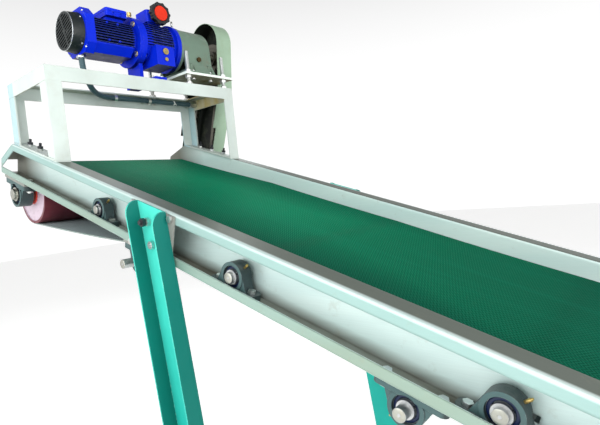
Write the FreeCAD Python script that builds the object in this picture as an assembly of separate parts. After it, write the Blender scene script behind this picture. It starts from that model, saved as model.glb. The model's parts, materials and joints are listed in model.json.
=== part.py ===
"""Inclined belt conveyor with a bridge-mounted chain drive over its head end.

Two frames are used.  The belt frame follows the belt: x runs along the rails
from the head (discharge) end to the tail, y runs across from the near rail's
outer face, z is square to the belt, and z = 0 is the rails' top face.  The
level frame has the same origin and y axis, with x horizontal and z upright;
the bridge and the drive are drawn in it.  Everything is moved at the end so
that the floor is z = 0 under the middle of the whole conveyor.
"""
import FreeCAD, Part
import math
import os

V = FreeCAD.Vector
X_AXIS = V(1, 0, 0)
Y_AXIS = V(0, 1, 0)
Z_AXIS = V(0, 0, 1)

# ---------------------------------------------------------------- overall
incline = 17.5                # slope of the belt, degrees
floor_drop = 1450.0           # floor below the head corner of the rails
overall_width = 830.0         # over the outer edges of the two rails
rail_tail_x = 2962.0          # tail end of the rails
nose_x = 108.0                # rails reach this far past the head corner
nose_drop = 76.0              # height of the sloped cut on the nose

# ---------------------------------------------------------------- rails
rail_height = 131.0
rail_flange = 60.0
rail_lip = 25.0
sheet = 3.0
corner_radius = 5.0
slot_place = (1836.0, -97.0)  # small slot in the near web
slot_length = 14.0
slot_height = 13.0

# ---------------------------------------------------------------- clearances
running_gap = 0.3             # belt, rollers and seals
slip_fit = 0.05               # turned pieces pushed together
bolt_clearance = 0.5          # radial, round every bolt shank
end_gap = 5.0                 # roller ends to rail webs

# ---------------------------------------------------------------- belt
belt_thickness = 3.0
belt_width = 690.0

# ---------------------------------------------------------------- rollers
carrier_radius = 38.0
carrier_first = 617.0
carrier_pitch = 591.0
carrier_count = 4
return_radius = 30.0
return_places = (838.0, 1657.0, 2535.0)
return_packers = (12.5, 0.0, 0.0)
roller_wall = 4.0
roller_disc = 8.0
shaft_inset = 5.0             # carrier shaft ends inside the rail edge
hung_shaft_reach = (30.0, 8.0, 8.0)  # return shafts stand out past the rail edge

# ---------------------------------------------------------------- drums
head_x = 9.0
head_radius = 118.0
head_packer = 10.0
tail_x = 2850.0
tail_radius = 80.0
drum_wall = 10.0
drum_disc = 12.0
hub_radius = 42.0
hub_length = 34.0

# ---------------------------------------------------------------- bearings
# pillow blocks with 25 mm and 40 mm bore
SMALL = dict(bore=25.0, height=36.5, length=140.0, width=38.0, pitch=105.0, hole=13.0,
             foot=15.0, boss=34.5, ring=52.0, inner=34.0, outer=17.0, bolt=10.0, race=17.0)
LARGE = dict(bore=40.0, height=49.2, length=184.0, width=54.0, pitch=137.0, hole=17.0,
             foot=18.0, boss=48.8, ring=80.0, inner=49.0, outer=21.0, bolt=12.0, race=26.5)
bearing_y = 30.0              # bearing centre in from the rail edge
nipple_radius = 3.0
nipple_length = 11.0

# ---------------------------------------------------------------- legs
leg_lean = 6.57               # degrees from upright, foot towards the tail
leg_web = 112.0
leg_flange = 42.0
leg_wall = 4.0
leg_round = 34.0              # rounded upper corners of the leg's flanges
head_leg_x = 856.0            # upper corner of the leg along the rail
tail_leg_x = 2140.0
plate_wall = 6.0              # bracket between rail lips and leg
bracket_length = 186.0
bracket_lead = 30.0
bracket_margin = 5.0
foot_length = 190.0
foot_width = 90.0
foot_wall = 10.0
foot_hole_pitch = 150.0
foot_hole = 14.0
tube_side = 40.0
tube_wall = 3.0
tube_places = (330.0, 930.0, 1480.0, 2080.0, 2470.0)
tube_drop = 75.0              # top of the cross tubes below the rails' top

# ---------------------------------------------------------------- bridge
bridge_x0 = 11.0
bridge_x1 = 336.5
bridge_width = 805.0
bridge_top = 211.0
angle_side = 50.0
angle_wall = 5.0
base_bar = 6.0

# ---------------------------------------------------------------- drive
drive_x = 174.0
drive_z = 391.0
cover_y = 160.0               # outer face of the fan cover
cover_length = 44.0
cover_radius = 69.5
cover_flare = 75.0
cover_slant = 18.0            # degrees, rise of the cowl's slots
cover_wall = 2.0
shield_length = 34.0
shield_half = 83.0
shield_flat = 51.0            # half width of the end shield's flats
frame_length = 174.0
frame_radius = 69.0
frame_bore = 62.0
fin_reach = 83.0
flange_radius = 100.0
flange_wall = 14.0
flange_bolt_circle = 165.0
variator_flange_wall = 19.0
variator_length = 146.0
variator_radius = 84.0
variator_bore = 70.0
output_flange_wall = 18.0
reducer_flange_wall = 17.0
reducer_length = 137.0
reducer_radius = 94.0
reducer_wall = 10.0
motor_plate_y0 = 572.0
motor_plate_y1 = 828.0
motor_plate_top = 262.0
motor_plate_wall = 10.0
rod_radius = 8.0
rod_ys = (597.0, 786.0)
rod_top = 352.0
rod_bottom = 176.0

# ---------------------------------------------------------------- gears
gear_module = 2.0
pinion_teeth = 15
wheel_teeth = 38
gear_width = 26.0
gear_backlash = 0.12
gear_shaft = 12.5

# ---------------------------------------------------------------- chain
chain_pitch = 19.05
drive_teeth = 19
driven_teeth = 28
chain_y = 861.0
chain_roller = 6.0
chain_gap = 11.7              # between the inner link plates
link_wall = 1.8
link_height = 18.0
sprocket_wall = 11.0
output_radius = 17.5

# ---------------------------------------------------------------- guard
guard_y0 = 814.0
guard_y1 = 900.0
guard_wall = 2.0
guard_top_radius = 95.0
guard_top_x = 172.0
guard_top_z = 452.0
guard_foot_radius = 118.0
guard_knee = (143.0, 240.0, 98.0)    # x, z and radius where the tail side bends
guard_gap = 2.0               # round the far rail and the motor plate

web_y = rail_flange - sheet
face_y0 = rail_flange + end_gap
face_y1 = overall_width - rail_flange - end_gap
carrier_z = -rail_height + sheet + SMALL["height"]
return_zs = [-rail_height - packer - SMALL["height"] for packer in return_packers]
head_z = -rail_height - head_packer - LARGE["height"]
tail_z = -rail_height - LARGE["height"]
carrier_xs = [carrier_first + carrier_pitch * k for k in range(carrier_count)]


# ================================================================ helpers
def block(x0, y0, z0, x1, y1, z1):
    """Box between two corners."""
    return Part.makeBox(x1 - x0, y1 - y0, z1 - z0, V(x0, y0, z0))


def bar(x, y, z, radius, length, axis=Y_AXIS):
    """Round bar starting at a point."""
    return Part.makeCylinder(radius, length, V(x, y, z), axis)


def ring(x, y, z, outer, inner, length, axis=Y_AXIS):
    """Tube starting at a point."""
    return bar(x, y, z, outer, length, axis).cut(bar(x, y, z, inner, length, axis))


def profile(points, y0, y1):
    """Closed outline in the x, z plane, pulled from y0 to y1."""
    loop = [V(x, y0, z) for x, z in points]
    face = Part.Face(Part.makePolygon(loop + [loop[0]]))
    return face.extrude(V(0, y1 - y0, 0))


def hexagon(point, across, height, axis):
    """Hexagonal prism on a point, standing along axis."""
    flat = across / 2 / math.cos(math.pi / 6)
    loop = [V(flat * math.cos(k * math.pi / 3), flat * math.sin(k * math.pi / 3), 0) for k in range(7)]
    solid = Part.Face(Part.makePolygon(loop)).extrude(V(0, 0, height))
    return place(solid, point, axis)


def place(solid, point, axis):
    """Turn a solid drawn along +z to stand along axis at a point."""
    solid.Placement = FreeCAD.Placement(point, FreeCAD.Rotation(Z_AXIS, axis))
    return solid


def bolt(point, axis, size, grip, nut=True):
    """Hexagon bolt whose head sits on a point, with its shank along axis, and its nut."""
    shank = Part.makeCylinder(size / 2, grip + (size if nut else 0), V(0, 0, 0), Z_AXIS)
    head = hexagon(V(0, 0, -0.65 * size), 1.6 * size, 0.65 * size, Z_AXIS)
    pieces = [place(shank.fuse(head), point, axis)]
    if nut:
        collar = hexagon(V(0, 0, 0), 1.6 * size, 0.8 * size, Z_AXIS)
        collar = collar.cut(Part.makeCylinder(size / 2 + slip_fit, size, V(0, 0, 0), Z_AXIS))
        pieces.append(place(collar, point + axis * grip, axis))
    return pieces


def far_side(solid):
    """Mirror to the other rail."""
    return solid.mirror(V(0, overall_width / 2, 0), Y_AXIS)


def both_sides(solids):
    return list(solids) + [far_side(solid) for solid in solids]


def tilt(solid):
    """From the belt frame to the level frame."""
    turned = solid.copy()
    turned.rotate(V(0, 0, 0), Y_AXIS, incline)
    return turned


def tilt_all(solids):
    return [tilt(solid) for solid in solids]


def level_point(x, y, z):
    """A belt-frame point in the level frame."""
    slope = math.radians(incline)
    return V(x * math.cos(slope) + z * math.sin(slope), y, z * math.cos(slope) - x * math.sin(slope))


# ================================================================ rails
def block_holes():
    """Where the pillow blocks are bolted to one rail: x and bolt size."""
    small = carrier_xs + list(return_places)
    places = [(x + side * SMALL["pitch"] / 2, SMALL["bolt"]) for x in small for side in (-1, 1)]
    large = [(x + side * LARGE["pitch"] / 2, LARGE["bolt"]) for x in (head_x, tail_x) for side in (-1, 1)]
    return places + large


def rail_profile():
    """Channel with lips, open outwards, before its nose is cut."""
    outer = block(-nose_x, 0, -rail_height, rail_tail_x, rail_flange, 0)
    edges = [e for e in outer.Edges if abs(e.Length - (rail_tail_x + nose_x)) < 0.01]
    outer = outer.makeFillet(corner_radius, edges)
    inner = block(-nose_x - 1, -1, sheet - rail_height, rail_tail_x + 1, web_y, -sheet)
    inner = inner.cut(block(-nose_x - 1, -1, -rail_lip, rail_tail_x + 1, sheet, 0))
    inner = inner.cut(block(-nose_x - 1, -1, -rail_height, rail_tail_x + 1, sheet, rail_lip - rail_height))
    return outer.cut(inner)


def nose_cut(inset):
    """Wedge above the sloped head end, moved into the rail by inset."""
    shift = inset * math.hypot(nose_x, nose_drop) / nose_drop
    past = 50.0
    low = -(nose_x + past + shift) * nose_drop / nose_x
    return profile([(-nose_x - past, low), (shift, 0), (shift, past), (-nose_x - past, past)],
                   -1, rail_flange + 1)


def nose_strip():
    """Lip and sloped top plate that close the head end of the channel."""
    whole = block(-nose_x, 0, -rail_height, rail_lip * 3, rail_flange, 0)
    plate = whole.cut(nose_cut(0)).common(nose_cut(sheet))
    lip = whole.cut(nose_cut(0)).common(nose_cut(rail_lip))
    lip = lip.common(block(-nose_x, 0, rail_lip - rail_height, rail_lip * 3, sheet, 0))
    return plate.fuse(lip)


def rail():
    body = rail_profile().cut(nose_cut(0)).fuse(nose_strip()).removeSplitter()
    for x in carrier_xs:
        body = body.cut(bar(x, web_y - 1, carrier_z, SMALL["bore"] / 2 + 6, sheet + 2))
    for x, size in block_holes():
        body = body.cut(bar(x, bearing_y, -rail_height - 1, size / 2 + bolt_clearance, sheet + 2, Z_AXIS))
    for x in bridge_bolt_xs():
        body = body.cut(bar(x, bearing_y, -sheet - 1, 5 + bolt_clearance, sheet + 2, Z_AXIS))
    for x, z in bracket_bolts(head_leg_x) + bracket_bolts(tail_leg_x):
        body = body.cut(bar(x, -1, z, 5 + bolt_clearance, sheet + 2))
    return body


def web_slot():
    """Small slot through the web of the near rail."""
    x, z = slot_place
    return block(x - slot_length / 2, web_y - 1, z - slot_height / 2,
                 x + slot_length / 2, rail_flange + 1, z + slot_height / 2)


def cross_tubes():
    tubes = []
    for x in tube_places:
        z = -tube_drop
        outer = block(x - tube_side / 2, rail_flange, z - tube_side, x + tube_side / 2,
                      overall_width - rail_flange, z)
        edge = tube_side / 2 - tube_wall
        inner = block(x - edge, rail_flange, z - tube_side + tube_wall, x + edge,
                      overall_width - rail_flange, z - tube_wall)
        tubes.append(outer.cut(inner))
    return tubes


# ================================================================ belt
def tangent(first, second):
    """Unit normal of the straight run between two rollers.

    A roller is (x, z, radius); the radius is negative where the belt passes on
    the roller's other side.  The run touches both at centre + radius * normal.
    """
    span = math.hypot(second[0] - first[0], second[1] - first[1])
    along = ((second[0] - first[0]) / span, (second[1] - first[1]) / span)
    lean = (first[2] - second[2]) / span
    rise = math.sqrt(1 - lean * lean)
    return lean * along[0] - rise * along[1], lean * along[1] + rise * along[0]


def loop_edges(rollers, y):
    """Belt path round a list of rollers, as lines and arcs at one y."""
    normals = [tangent(rollers[k], rollers[(k + 1) % len(rollers)]) for k in range(len(rollers))]
    edges = []
    for k, (x, z, radius) in enumerate(rollers):
        start = math.atan2(normals[k - 1][1], normals[k - 1][0])
        turn = math.atan2(normals[k][1], normals[k][0]) - start
        turn = turn % (2 * math.pi)
        if radius > 0:
            turn -= 2 * math.pi
        arc = [V(x + radius * math.cos(start + part * turn), y, z + radius * math.sin(start + part * turn))
               for part in (0, 0.5, 1)]
        edges.append(Part.Arc(*arc).toShape())
    for k in range(len(rollers)):
        leave = edges[k].valueAt(edges[k].LastParameter)
        meet = edges[(k + 1) % len(rollers)].valueAt(edges[(k + 1) % len(rollers)].FirstParameter)
        edges.append(Part.LineSegment(leave, meet).toShape())
    return edges


def belt_rollers(inside, outside):
    """Rollers that bend the belt, with the belt surface set off from each."""
    rollers = [(head_x, head_z, head_radius + inside)]
    rollers += [(x, carrier_z, carrier_radius + inside) for x in (carrier_xs[0], carrier_xs[-1])]
    rollers += [(tail_x, tail_z, tail_radius + inside)]
    rollers += [(x, z, -return_radius - outside) for x, z in zip(return_places[::-1], return_zs[::-1])]
    return rollers


def loop_face(rollers, y):
    wire = Part.Wire(Part.__sortEdges__(loop_edges(rollers, y)))
    return Part.Face(wire)


def belt():
    y0 = (overall_width - belt_width) / 2
    outer = loop_face(belt_rollers(running_gap + belt_thickness, running_gap), y0)
    inner = loop_face(belt_rollers(running_gap, running_gap + belt_thickness), y0)
    return outer.extrude(V(0, belt_width, 0)).cut(inner.extrude(V(0, belt_width, 0)))


# ================================================================ bearings
def housing(size):
    """Pillow block casting, shaft axis along y through the origin, foot below."""
    foot = block(-size["length"] / 2, -size["width"] / 2, -size["height"],
                 size["length"] / 2, size["width"] / 2, size["foot"] - size["height"])
    corners = [e for e in foot.Edges if abs(e.Length - size["foot"]) < 0.01]
    foot = foot.makeFillet(size["width"] / 3, corners)
    boss = bar(0, -0.42 * size["width"], 0, size["boss"], 0.84 * size["width"])
    top = size["foot"] - size["height"]
    flank = 0.97 * size["boss"]
    cheek = profile([(-0.34 * size["length"], top - 1), (0.34 * size["length"], top - 1),
                     (flank, 0.2 * size["boss"]), (-flank, 0.2 * size["boss"])],
                    -0.36 * size["width"], 0.36 * size["width"])
    body = foot.fuse(boss).fuse(cheek).removeSplitter()
    body = body.cut(bar(0, -size["width"], 0, size["ring"] / 2, 2 * size["width"]))
    for side in (-1, 1):
        body = body.cut(bar(side * size["pitch"] / 2, 0, -size["height"] - 1,
                            size["hole"] / 2, size["foot"] + 2, Z_AXIS))
        body = body.cut(bar(side * size["pitch"] / 2, 0, top, size["bolt"], 60, Z_AXIS))
    return body


def insert(size):
    """Outer ring and seals of the bearing insert."""
    outer = size["ring"] / 2 - slip_fit
    inner = size["race"] + running_gap
    return ring(0, -size["outer"] / 2, 0, outer, inner, size["outer"])


def inner_ring(size):
    """Inner ring clamped to the shaft."""
    return ring(0, -size["inner"] / 2, 0, size["race"], size["bore"] / 2 + slip_fit, size["inner"])


def nipple(size):
    """Grease nipple standing out of the housing at a slant."""
    slant = V(math.sin(math.radians(40)), 0, math.cos(math.radians(40)))
    base = slant * (size["boss"] + slip_fit)
    head = bar(base.x, 0, base.z, nipple_radius, nipple_length, slant)
    tip = base + slant * nipple_length
    return head.fuse(bar(tip.x, 0, tip.z, 0.6 * nipple_radius, 3, slant))


def set_block(piece, x, y, z, hung):
    """Place a bearing piece; a hung block is turned upside down."""
    moved = piece.copy()
    if hung:
        moved.rotate(V(0, 0, 0), Y_AXIS, 180)
    moved.translate(V(x, y, z))
    return moved


def stations():
    """Every bearing pair: size, x, z, hung, packer thickness."""
    places = [(SMALL, x, carrier_z, False, 0.0) for x in carrier_xs]
    places += [(SMALL, x, z, True, packer)
               for x, z, packer in zip(return_places, return_zs, return_packers)]
    places += [(LARGE, head_x, head_z, True, head_packer), (LARGE, tail_x, tail_z, True, 0.0)]
    return places


def at_stations(make, wanted):
    """One bearing piece at every station of the wanted size, on both rails."""
    near = [set_block(make(size), x, bearing_y, z, hung)
            for size, x, z, hung, packer in stations() if size is wanted]
    return both_sides(near)


def inner_rings(size, x, z):
    """The two inner rings on one shaft."""
    near = set_block(inner_ring(size), x, bearing_y, z, False)
    return both_sides([near])


def packers():
    plates = []
    for size, x, z, hung, thickness in stations():
        if thickness == 0:
            continue
        plate = block(x - size["length"] / 2, bearing_y - size["width"] / 2, -rail_height - thickness,
                      x + size["length"] / 2, bearing_y + size["width"] / 2, -rail_height)
        for side in (-1, 1):
            plate = plate.cut(bar(x + side * size["pitch"] / 2, bearing_y, -rail_height - thickness - 1,
                                  size["bolt"] / 2 + bolt_clearance, thickness + 2, Z_AXIS))
        plates.append(plate)
    return both_sides(plates)


def block_bolts():
    """Bolts and nuts of every pillow block."""
    near = []
    for size, x, z, hung, packer in stations():
        for side in (-1, 1):
            px = x + side * size["pitch"] / 2
            if hung:
                near += bolt(V(px, bearing_y, sheet - rail_height), -Z_AXIS, size["bolt"],
                             sheet + packer + size["foot"])
            else:
                near += bolt(V(px, bearing_y, -rail_height + sheet + size["foot"]), -Z_AXIS,
                             size["bolt"], sheet + size["foot"])
    return both_sides(near)


# ================================================================ rollers
def roller(x, z, radius, shaft_radius, reach):
    """Tube with welded end discs on a through shaft."""
    tube = ring(x, face_y0, z, radius, radius - roller_wall, face_y1 - face_y0)
    discs = [ring(x, y, z, radius - roller_wall, shaft_radius, roller_disc)
             for y in (face_y0 + 2, face_y1 - 2 - roller_disc)]
    shaft = bar(x, -reach, z, shaft_radius, overall_width + 2 * reach)
    return tube.fuse(discs + [shaft]).removeSplitter()


def drum(x, z, radius, shaft_radius):
    """Drum shell with welded discs and hubs, bored for its shaft."""
    shell = ring(x, face_y0, z, radius, radius - drum_wall, face_y1 - face_y0)
    pieces = []
    for y, hub_y in ((face_y0 + 3, face_y0 - 1), (face_y1 - 3 - drum_disc, face_y1 + 1 - hub_length)):
        pieces.append(ring(x, y, z, radius - drum_wall, shaft_radius, drum_disc))
        pieces.append(ring(x, hub_y, z, hub_radius, shaft_radius, hub_length))
    return shell.fuse(pieces).removeSplitter()


def head_shaft():
    """Drum shaft, long enough on the far side for the driven sprocket."""
    start = -4.0
    return bar(head_x, start, head_z, LARGE["bore"] / 2, chain_y + 22 - start)


def take_up():
    """Screws that push the tail blocks to tighten the belt, with their lugs."""
    pieces = []
    z = -rail_height - LARGE["foot"] / 2
    lug_x = rail_tail_x - 12
    lug = block(lug_x, bearing_y - 18, -rail_height - 36, rail_tail_x, bearing_y + 18, -rail_height)
    lug = lug.cut(bar(lug_x - 1, bearing_y, z - 6, 6 + slip_fit, 20, X_AXIS))
    start = tail_x + LARGE["length"] / 2 + running_gap
    pieces.append(lug)
    pieces.append(bolt(V(rail_tail_x + 34, bearing_y, z - 6), -X_AXIS, 12,
                       rail_tail_x + 34 - start, nut=False)[0])
    return both_sides(pieces)


# ================================================================ legs
def bracket_bolts(leg_x):
    """Bolts that hold a bracket to the rail lips."""
    x0 = leg_x - bracket_lead + 12
    x1 = leg_x - bracket_lead + bracket_length - 12
    high = -rail_lip / 2
    low = rail_lip / 2 - rail_height
    return [(x0, high), (x1, high), (x0, low), (x0 + 38, low)]


def leg_bolts(leg_x):
    """Bolts that hold a leg to its bracket."""
    return [(leg_x + 60, -42.0), (leg_x + 85, -96.0)]


def bracket(leg_x):
    plate = block(leg_x - bracket_lead, -plate_wall, bracket_margin - rail_height,
                  leg_x - bracket_lead + bracket_length, 0, -bracket_margin)
    for x, z in bracket_bolts(leg_x):
        plate = plate.cut(bar(x, -plate_wall - 1, z, 5 + bolt_clearance, plate_wall + 2))
    for x, z in leg_bolts(leg_x):
        plate = plate.cut(bar(x, -plate_wall - 1, z, 6 + bolt_clearance, plate_wall + 2))
    return plate


def leg(leg_x):
    """Leaning channel in the level frame, its back against the bracket, cut to rail and floor."""
    top = level_point(leg_x, 0, 0)
    back = -plate_wall
    front = back - leg_flange
    length = floor_drop + 200
    outer = block(0, front, -length, leg_web, back, 120)
    inner = block(leg_wall, front - 1, -length - 1, leg_web - leg_wall, back - leg_wall, 121)
    channel = outer.cut(inner)
    channel.rotate(V(0, 0, 0), Y_AXIS, -leg_lean)
    channel.translate(V(top.x, 0, top.z))
    reach = floor_drop + 1200
    keep = block(leg_x - reach, front, -reach, leg_x + reach, back + 1, 0)
    crown = [e for e in keep.Edges if e.Length > reach and e.CenterOfMass.z > -1 and e.CenterOfMass.y < back]
    keep = tilt(keep.makeFillet(leg_round, crown))
    under = block(top.x - 900, front - 1, -floor_drop - 900, top.x + 1200, back + 1, foot_wall - floor_drop)
    channel = channel.common(keep).cut(under)
    for x, z in leg_bolts(leg_x):
        channel = channel.cut(tilt(bar(x, back - leg_wall - 1, z, 6 + bolt_clearance, leg_wall + 2)))
    return channel


def foot(leg_x):
    """Floor plate under a leg, in the level frame."""
    x, y = foot_centre(leg_x)
    plate = block(x - foot_length / 2, y - foot_width / 2, -floor_drop,
                  x + foot_length / 2, y + foot_width / 2, foot_wall - floor_drop)
    for side in (-1, 1):
        plate = plate.cut(bar(x + side * foot_hole_pitch / 2, y, -floor_drop - 1,
                              foot_hole / 2, foot_wall + 2, Z_AXIS))
    return plate


def foot_centre(leg_x):
    top = level_point(leg_x, 0, 0)
    drop = top.z + floor_drop - foot_wall
    lean = math.radians(leg_lean)
    x = top.x + drop * math.tan(lean) + leg_web / math.cos(lean) / 2
    return x, -plate_wall - leg_flange / 2


def leg_set(leg_x):
    return both_sides([leg(leg_x)])


def frame_bolts():
    """Bolts of the leg brackets and of the bridge, in the level frame."""
    near = []
    for leg_x in (head_leg_x, tail_leg_x):
        for x, z in bracket_bolts(leg_x):
            near += bolt(V(x, -plate_wall, z), Y_AXIS, 10, plate_wall + sheet)
        for x, z in leg_bolts(leg_x):
            near += bolt(V(x, 0, z), -Y_AXIS, 12, plate_wall + leg_wall)
    for x in bridge_bolt_xs():
        near += bolt(V(x, bearing_y, base_bar), -Z_AXIS, 10, base_bar + sheet)
    return tilt_all(both_sides(near))


# ================================================================ bridge
def bridge_bolt_xs():
    """Bolts that hold each base bar to a rail, along the belt frame."""
    first = bridge_x0 / math.cos(math.radians(incline))
    return [first + 75, first + 160, first + 245]


def bridge_bar(bolt_y):
    """Flat bar on the rail under the bridge posts, drilled at bolt_y."""
    slope = math.cos(math.radians(incline))
    x0 = bridge_x0 / slope
    x1 = bridge_x1 / slope
    flat = block(x0, corner_radius, 0, x1, corner_radius + angle_side, base_bar)
    for x in bridge_bolt_xs():
        flat = flat.cut(bar(x, bolt_y, -1, 5 + bolt_clearance, base_bar + 2, Z_AXIS))
    return flat


def post(x, reach):
    """Angle post on the near side; reach is +1 or -1 for the side its flange points to."""
    low = -bridge_x1
    wide = block(min(x, x + reach * angle_side), 0, low, max(x, x + reach * angle_side),
                 angle_wall, bridge_top - angle_side)
    deep = block(min(x, x + reach * angle_wall), 0, low, max(x, x + reach * angle_wall),
                 angle_side, bridge_top - angle_side)
    under = tilt(block(-200, -10, -900, 900, 200, base_bar))
    post_solid = wide.fuse(deep).removeSplitter().cut(under)
    post_solid.translate(V(0, corner_radius, 0))
    return post_solid


def bridge_far(solid):
    """Mirror within the bridge's own width."""
    return solid.mirror(V(0, bridge_middle(), 0), Y_AXIS)


def bridge_middle():
    return corner_radius + bridge_width / 2


def posts():
    near = [post(bridge_x0, 1), post(bridge_x1, -1)]
    return near + [bridge_far(solid) for solid in near]


def base_bars():
    far_bolt_y = 2 * bridge_middle() - (overall_width - bearing_y)
    return [bridge_bar(bearing_y), bridge_far(bridge_bar(far_bolt_y))]


def top_ring():
    """Square ring of angle with its corner outwards and upwards."""
    y0 = corner_radius
    y1 = corner_radius + bridge_width
    low = bridge_top - angle_side
    outer = block(bridge_x0, y0, low, bridge_x1, y1, bridge_top)
    below = block(bridge_x0 + angle_wall, y0 + angle_wall, low - 1,
                  bridge_x1 - angle_wall, y1 - angle_wall, bridge_top - angle_wall)
    through = block(bridge_x0 + angle_side, y0 + angle_side, low,
                    bridge_x1 - angle_side, y1 - angle_side, bridge_top + 1)
    return outer.cut(below).cut(through)


def beams():
    """The ring as four mitred beams, drilled for the rods: head, tail, near, far."""
    y0 = corner_radius
    y1 = corner_radius + bridge_width
    whole = top_ring()
    for x, y in rod_places():
        whole = whole.cut(bar(x, y, bridge_top - angle_wall - 1, rod_radius + bolt_clearance, 8, Z_AXIS))
    for x, y in variator_bolts():
        whole = whole.cut(bar(x, y, bridge_top - angle_wall - 1, 5 + bolt_clearance, 8, Z_AXIS))
    size = 60.0
    near = mitre(bridge_x0, y0, bridge_x1, y0, size)
    far = mitre(bridge_x0, y1, bridge_x1, y1, -size)
    ends = whole.cut(near).cut(far)
    sides = [whole.common(near), whole.common(far)]
    return sorted(ends.Solids, key=lambda s: s.CenterOfMass.x) + [s.Solids[0] for s in sides]


def mitre(x0, y0, x1, y1, size):
    """Trapezium that keeps a side beam, cut at 45 degrees at both ends."""
    depth = abs(size)
    loop = [V(x0, y0, 0), V(x1, y1, 0), V(x1 - depth, y1 + size, 0),
            V(x0 + depth, y0 + size, 0), V(x0, y0, 0)]
    return Part.Face(Part.makePolygon(loop)).extrude(V(0, 0, bridge_top + 5))


# ================================================================ motor
def drive_bar(y, radius, length):
    return bar(drive_x, y, drive_z, radius, length)


def drive_ring(y, outer, inner, length):
    return ring(drive_x, y, drive_z, outer, inner, length)


def drive_cone(y, radius0, radius1, length):
    return Part.makeCone(radius0, radius1, length, V(drive_x, y, drive_z), Y_AXIS)


shield_y = cover_y + cover_length
frame_y = shield_y + shield_length
flange_y = frame_y + frame_length
variator_y = flange_y + flange_wall
casing_y = variator_y + variator_flange_wall
output_y = casing_y + variator_length
reducer_y = output_y + output_flange_wall
gearbox_y = reducer_y + reducer_flange_wall
reducer_end = gearbox_y + reducer_length


def fan_cover():
    """Tapered sheet cowl with a slotted end."""
    shell = drive_cone(cover_y, cover_radius, cover_flare, cover_length)
    hollow = drive_cone(cover_y + cover_wall, cover_radius - cover_wall, cover_flare - cover_wall,
                        cover_length - cover_wall)
    cowl = shell.cut(hollow)
    reach = cover_radius - 9
    slots = []
    for k in range(-5, 6):
        z = k * 11.0
        half = math.sqrt(max(reach * reach - z * z, 1))
        slots.append(block(drive_x - half, cover_y - 1, drive_z + z - 3, drive_x + half,
                           cover_y + cover_wall + 1, drive_z + z + 3))
    slots = Part.makeCompound(slots)
    spoke = block(drive_x - 4, cover_y, drive_z - reach - 1, drive_x + 4, cover_y + cover_wall,
                  drive_z + reach + 1)
    for slanted in (slots, spoke):
        slanted.rotate(V(drive_x, 0, drive_z), Y_AXIS, -cover_slant)
    boss = drive_bar(cover_y, 9, cover_wall)
    return cowl.cut(slots).fuse([spoke, boss]).removeSplitter()


def cooling_fan():
    hub = drive_ring(cover_y + 14, 18, 9.5 + slip_fit, 26)
    disc = drive_ring(cover_y + 36, 58, 17, 4)
    blades = []
    for k in range(7):
        blade = block(15, cover_y + 14, -1.5, 60, cover_y + 37, 1.5)
        blade.rotate(V(0, 0, 0), Y_AXIS, 360.0 * k / 7)
        blade.translate(V(drive_x, 0, drive_z))
        blades.append(blade)
    return hub.fuse([disc] + blades).removeSplitter()


def rotor():
    """Rotor stack on its shaft, with the variator's driving discs at its end."""
    shaft = drive_bar(cover_y + 12, 9.5, variator_y + 52 - cover_y)
    stack = drive_bar(frame_y + 35, 44, 95)
    discs = [drive_cone(casing_y + 18, 16, 38, 8), drive_cone(casing_y + 26, 38, 16, 8)]
    return shaft.fuse([stack] + discs).removeSplitter()


def end_shield():
    """Square-section end shield with cut corners, and its bearing seat."""
    half = shield_half
    cut = shield_flat
    outline = [(-half, -cut), (-cut, -half), (cut, -half), (half, -cut),
               (half, cut), (cut, half), (-cut, half), (-half, cut)]
    solid = profile([(drive_x + x, drive_z + z) for x, z in outline], shield_y, shield_y + shield_length)
    return solid.cut(drive_bar(shield_y + 8, frame_bore, shield_length)).cut(drive_bar(shield_y - 1, 10, 20))


def fins(y, length, half, spacing, low, count, wall):
    """Flat cooling fins across a round casing, trimmed to its outer circle."""
    plates = []
    for k in range(count):
        z = drive_z + low + spacing * k
        plates.append(block(drive_x - half, y, z - wall / 2, drive_x + half, y + length, z + wall / 2))
    return Part.makeCompound(plates).common(drive_bar(y, half, length))


def motor_frame():
    body = drive_bar(frame_y, frame_radius, frame_length)
    ribs = fins(frame_y, frame_length - 12, fin_reach, 9.5, -38, 10, 3)
    low = drive_z - 76
    pad = profile([(drive_x - 48, low), (drive_x + 48, low), (drive_x + 76, drive_z - 46),
                   (drive_x + 76, drive_z - 42), (drive_x - 76, drive_z - 42), (drive_x - 76, drive_z - 46)],
                  frame_y, frame_y + frame_length - 20)
    saddle = block(drive_x - 40, box_y0 + 6, drive_z + 40, drive_x + 40, box_y1 - 6, drive_z + 72)
    body = body.fuse([pad, saddle] + ribs.Solids).removeSplitter()
    return body.cut(drive_bar(frame_y - 1, frame_bore, frame_length + 2))


def stator():
    return drive_ring(frame_y + 35, frame_bore - slip_fit, 44.6, 95)


def motor_flange():
    """Drive-end shield with its round mounting flange."""
    body = drive_ring(flange_y, flange_radius, 10, flange_wall)
    for x, z in flange_bolt_places():
        body = body.cut(bar(x, flange_y - 1, z, 5 + bolt_clearance, flange_wall + 2))
    return body


def flange_bolt_places():
    """Four bolts on the flange's bolt circle, at 45 degrees."""
    offset = flange_bolt_circle / 2 / math.sqrt(2)
    return [(drive_x + sx * offset, drive_z + sz * offset) for sx in (-1, 1) for sz in (-1, 1)]


box_x0 = drive_x - 52
box_x1 = drive_x + 62
box_y0 = frame_y + 62
box_y1 = frame_y + 150
box_z0 = drive_z + 72
box_z1 = box_z0 + 18
lid_wall = 11.0


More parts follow.
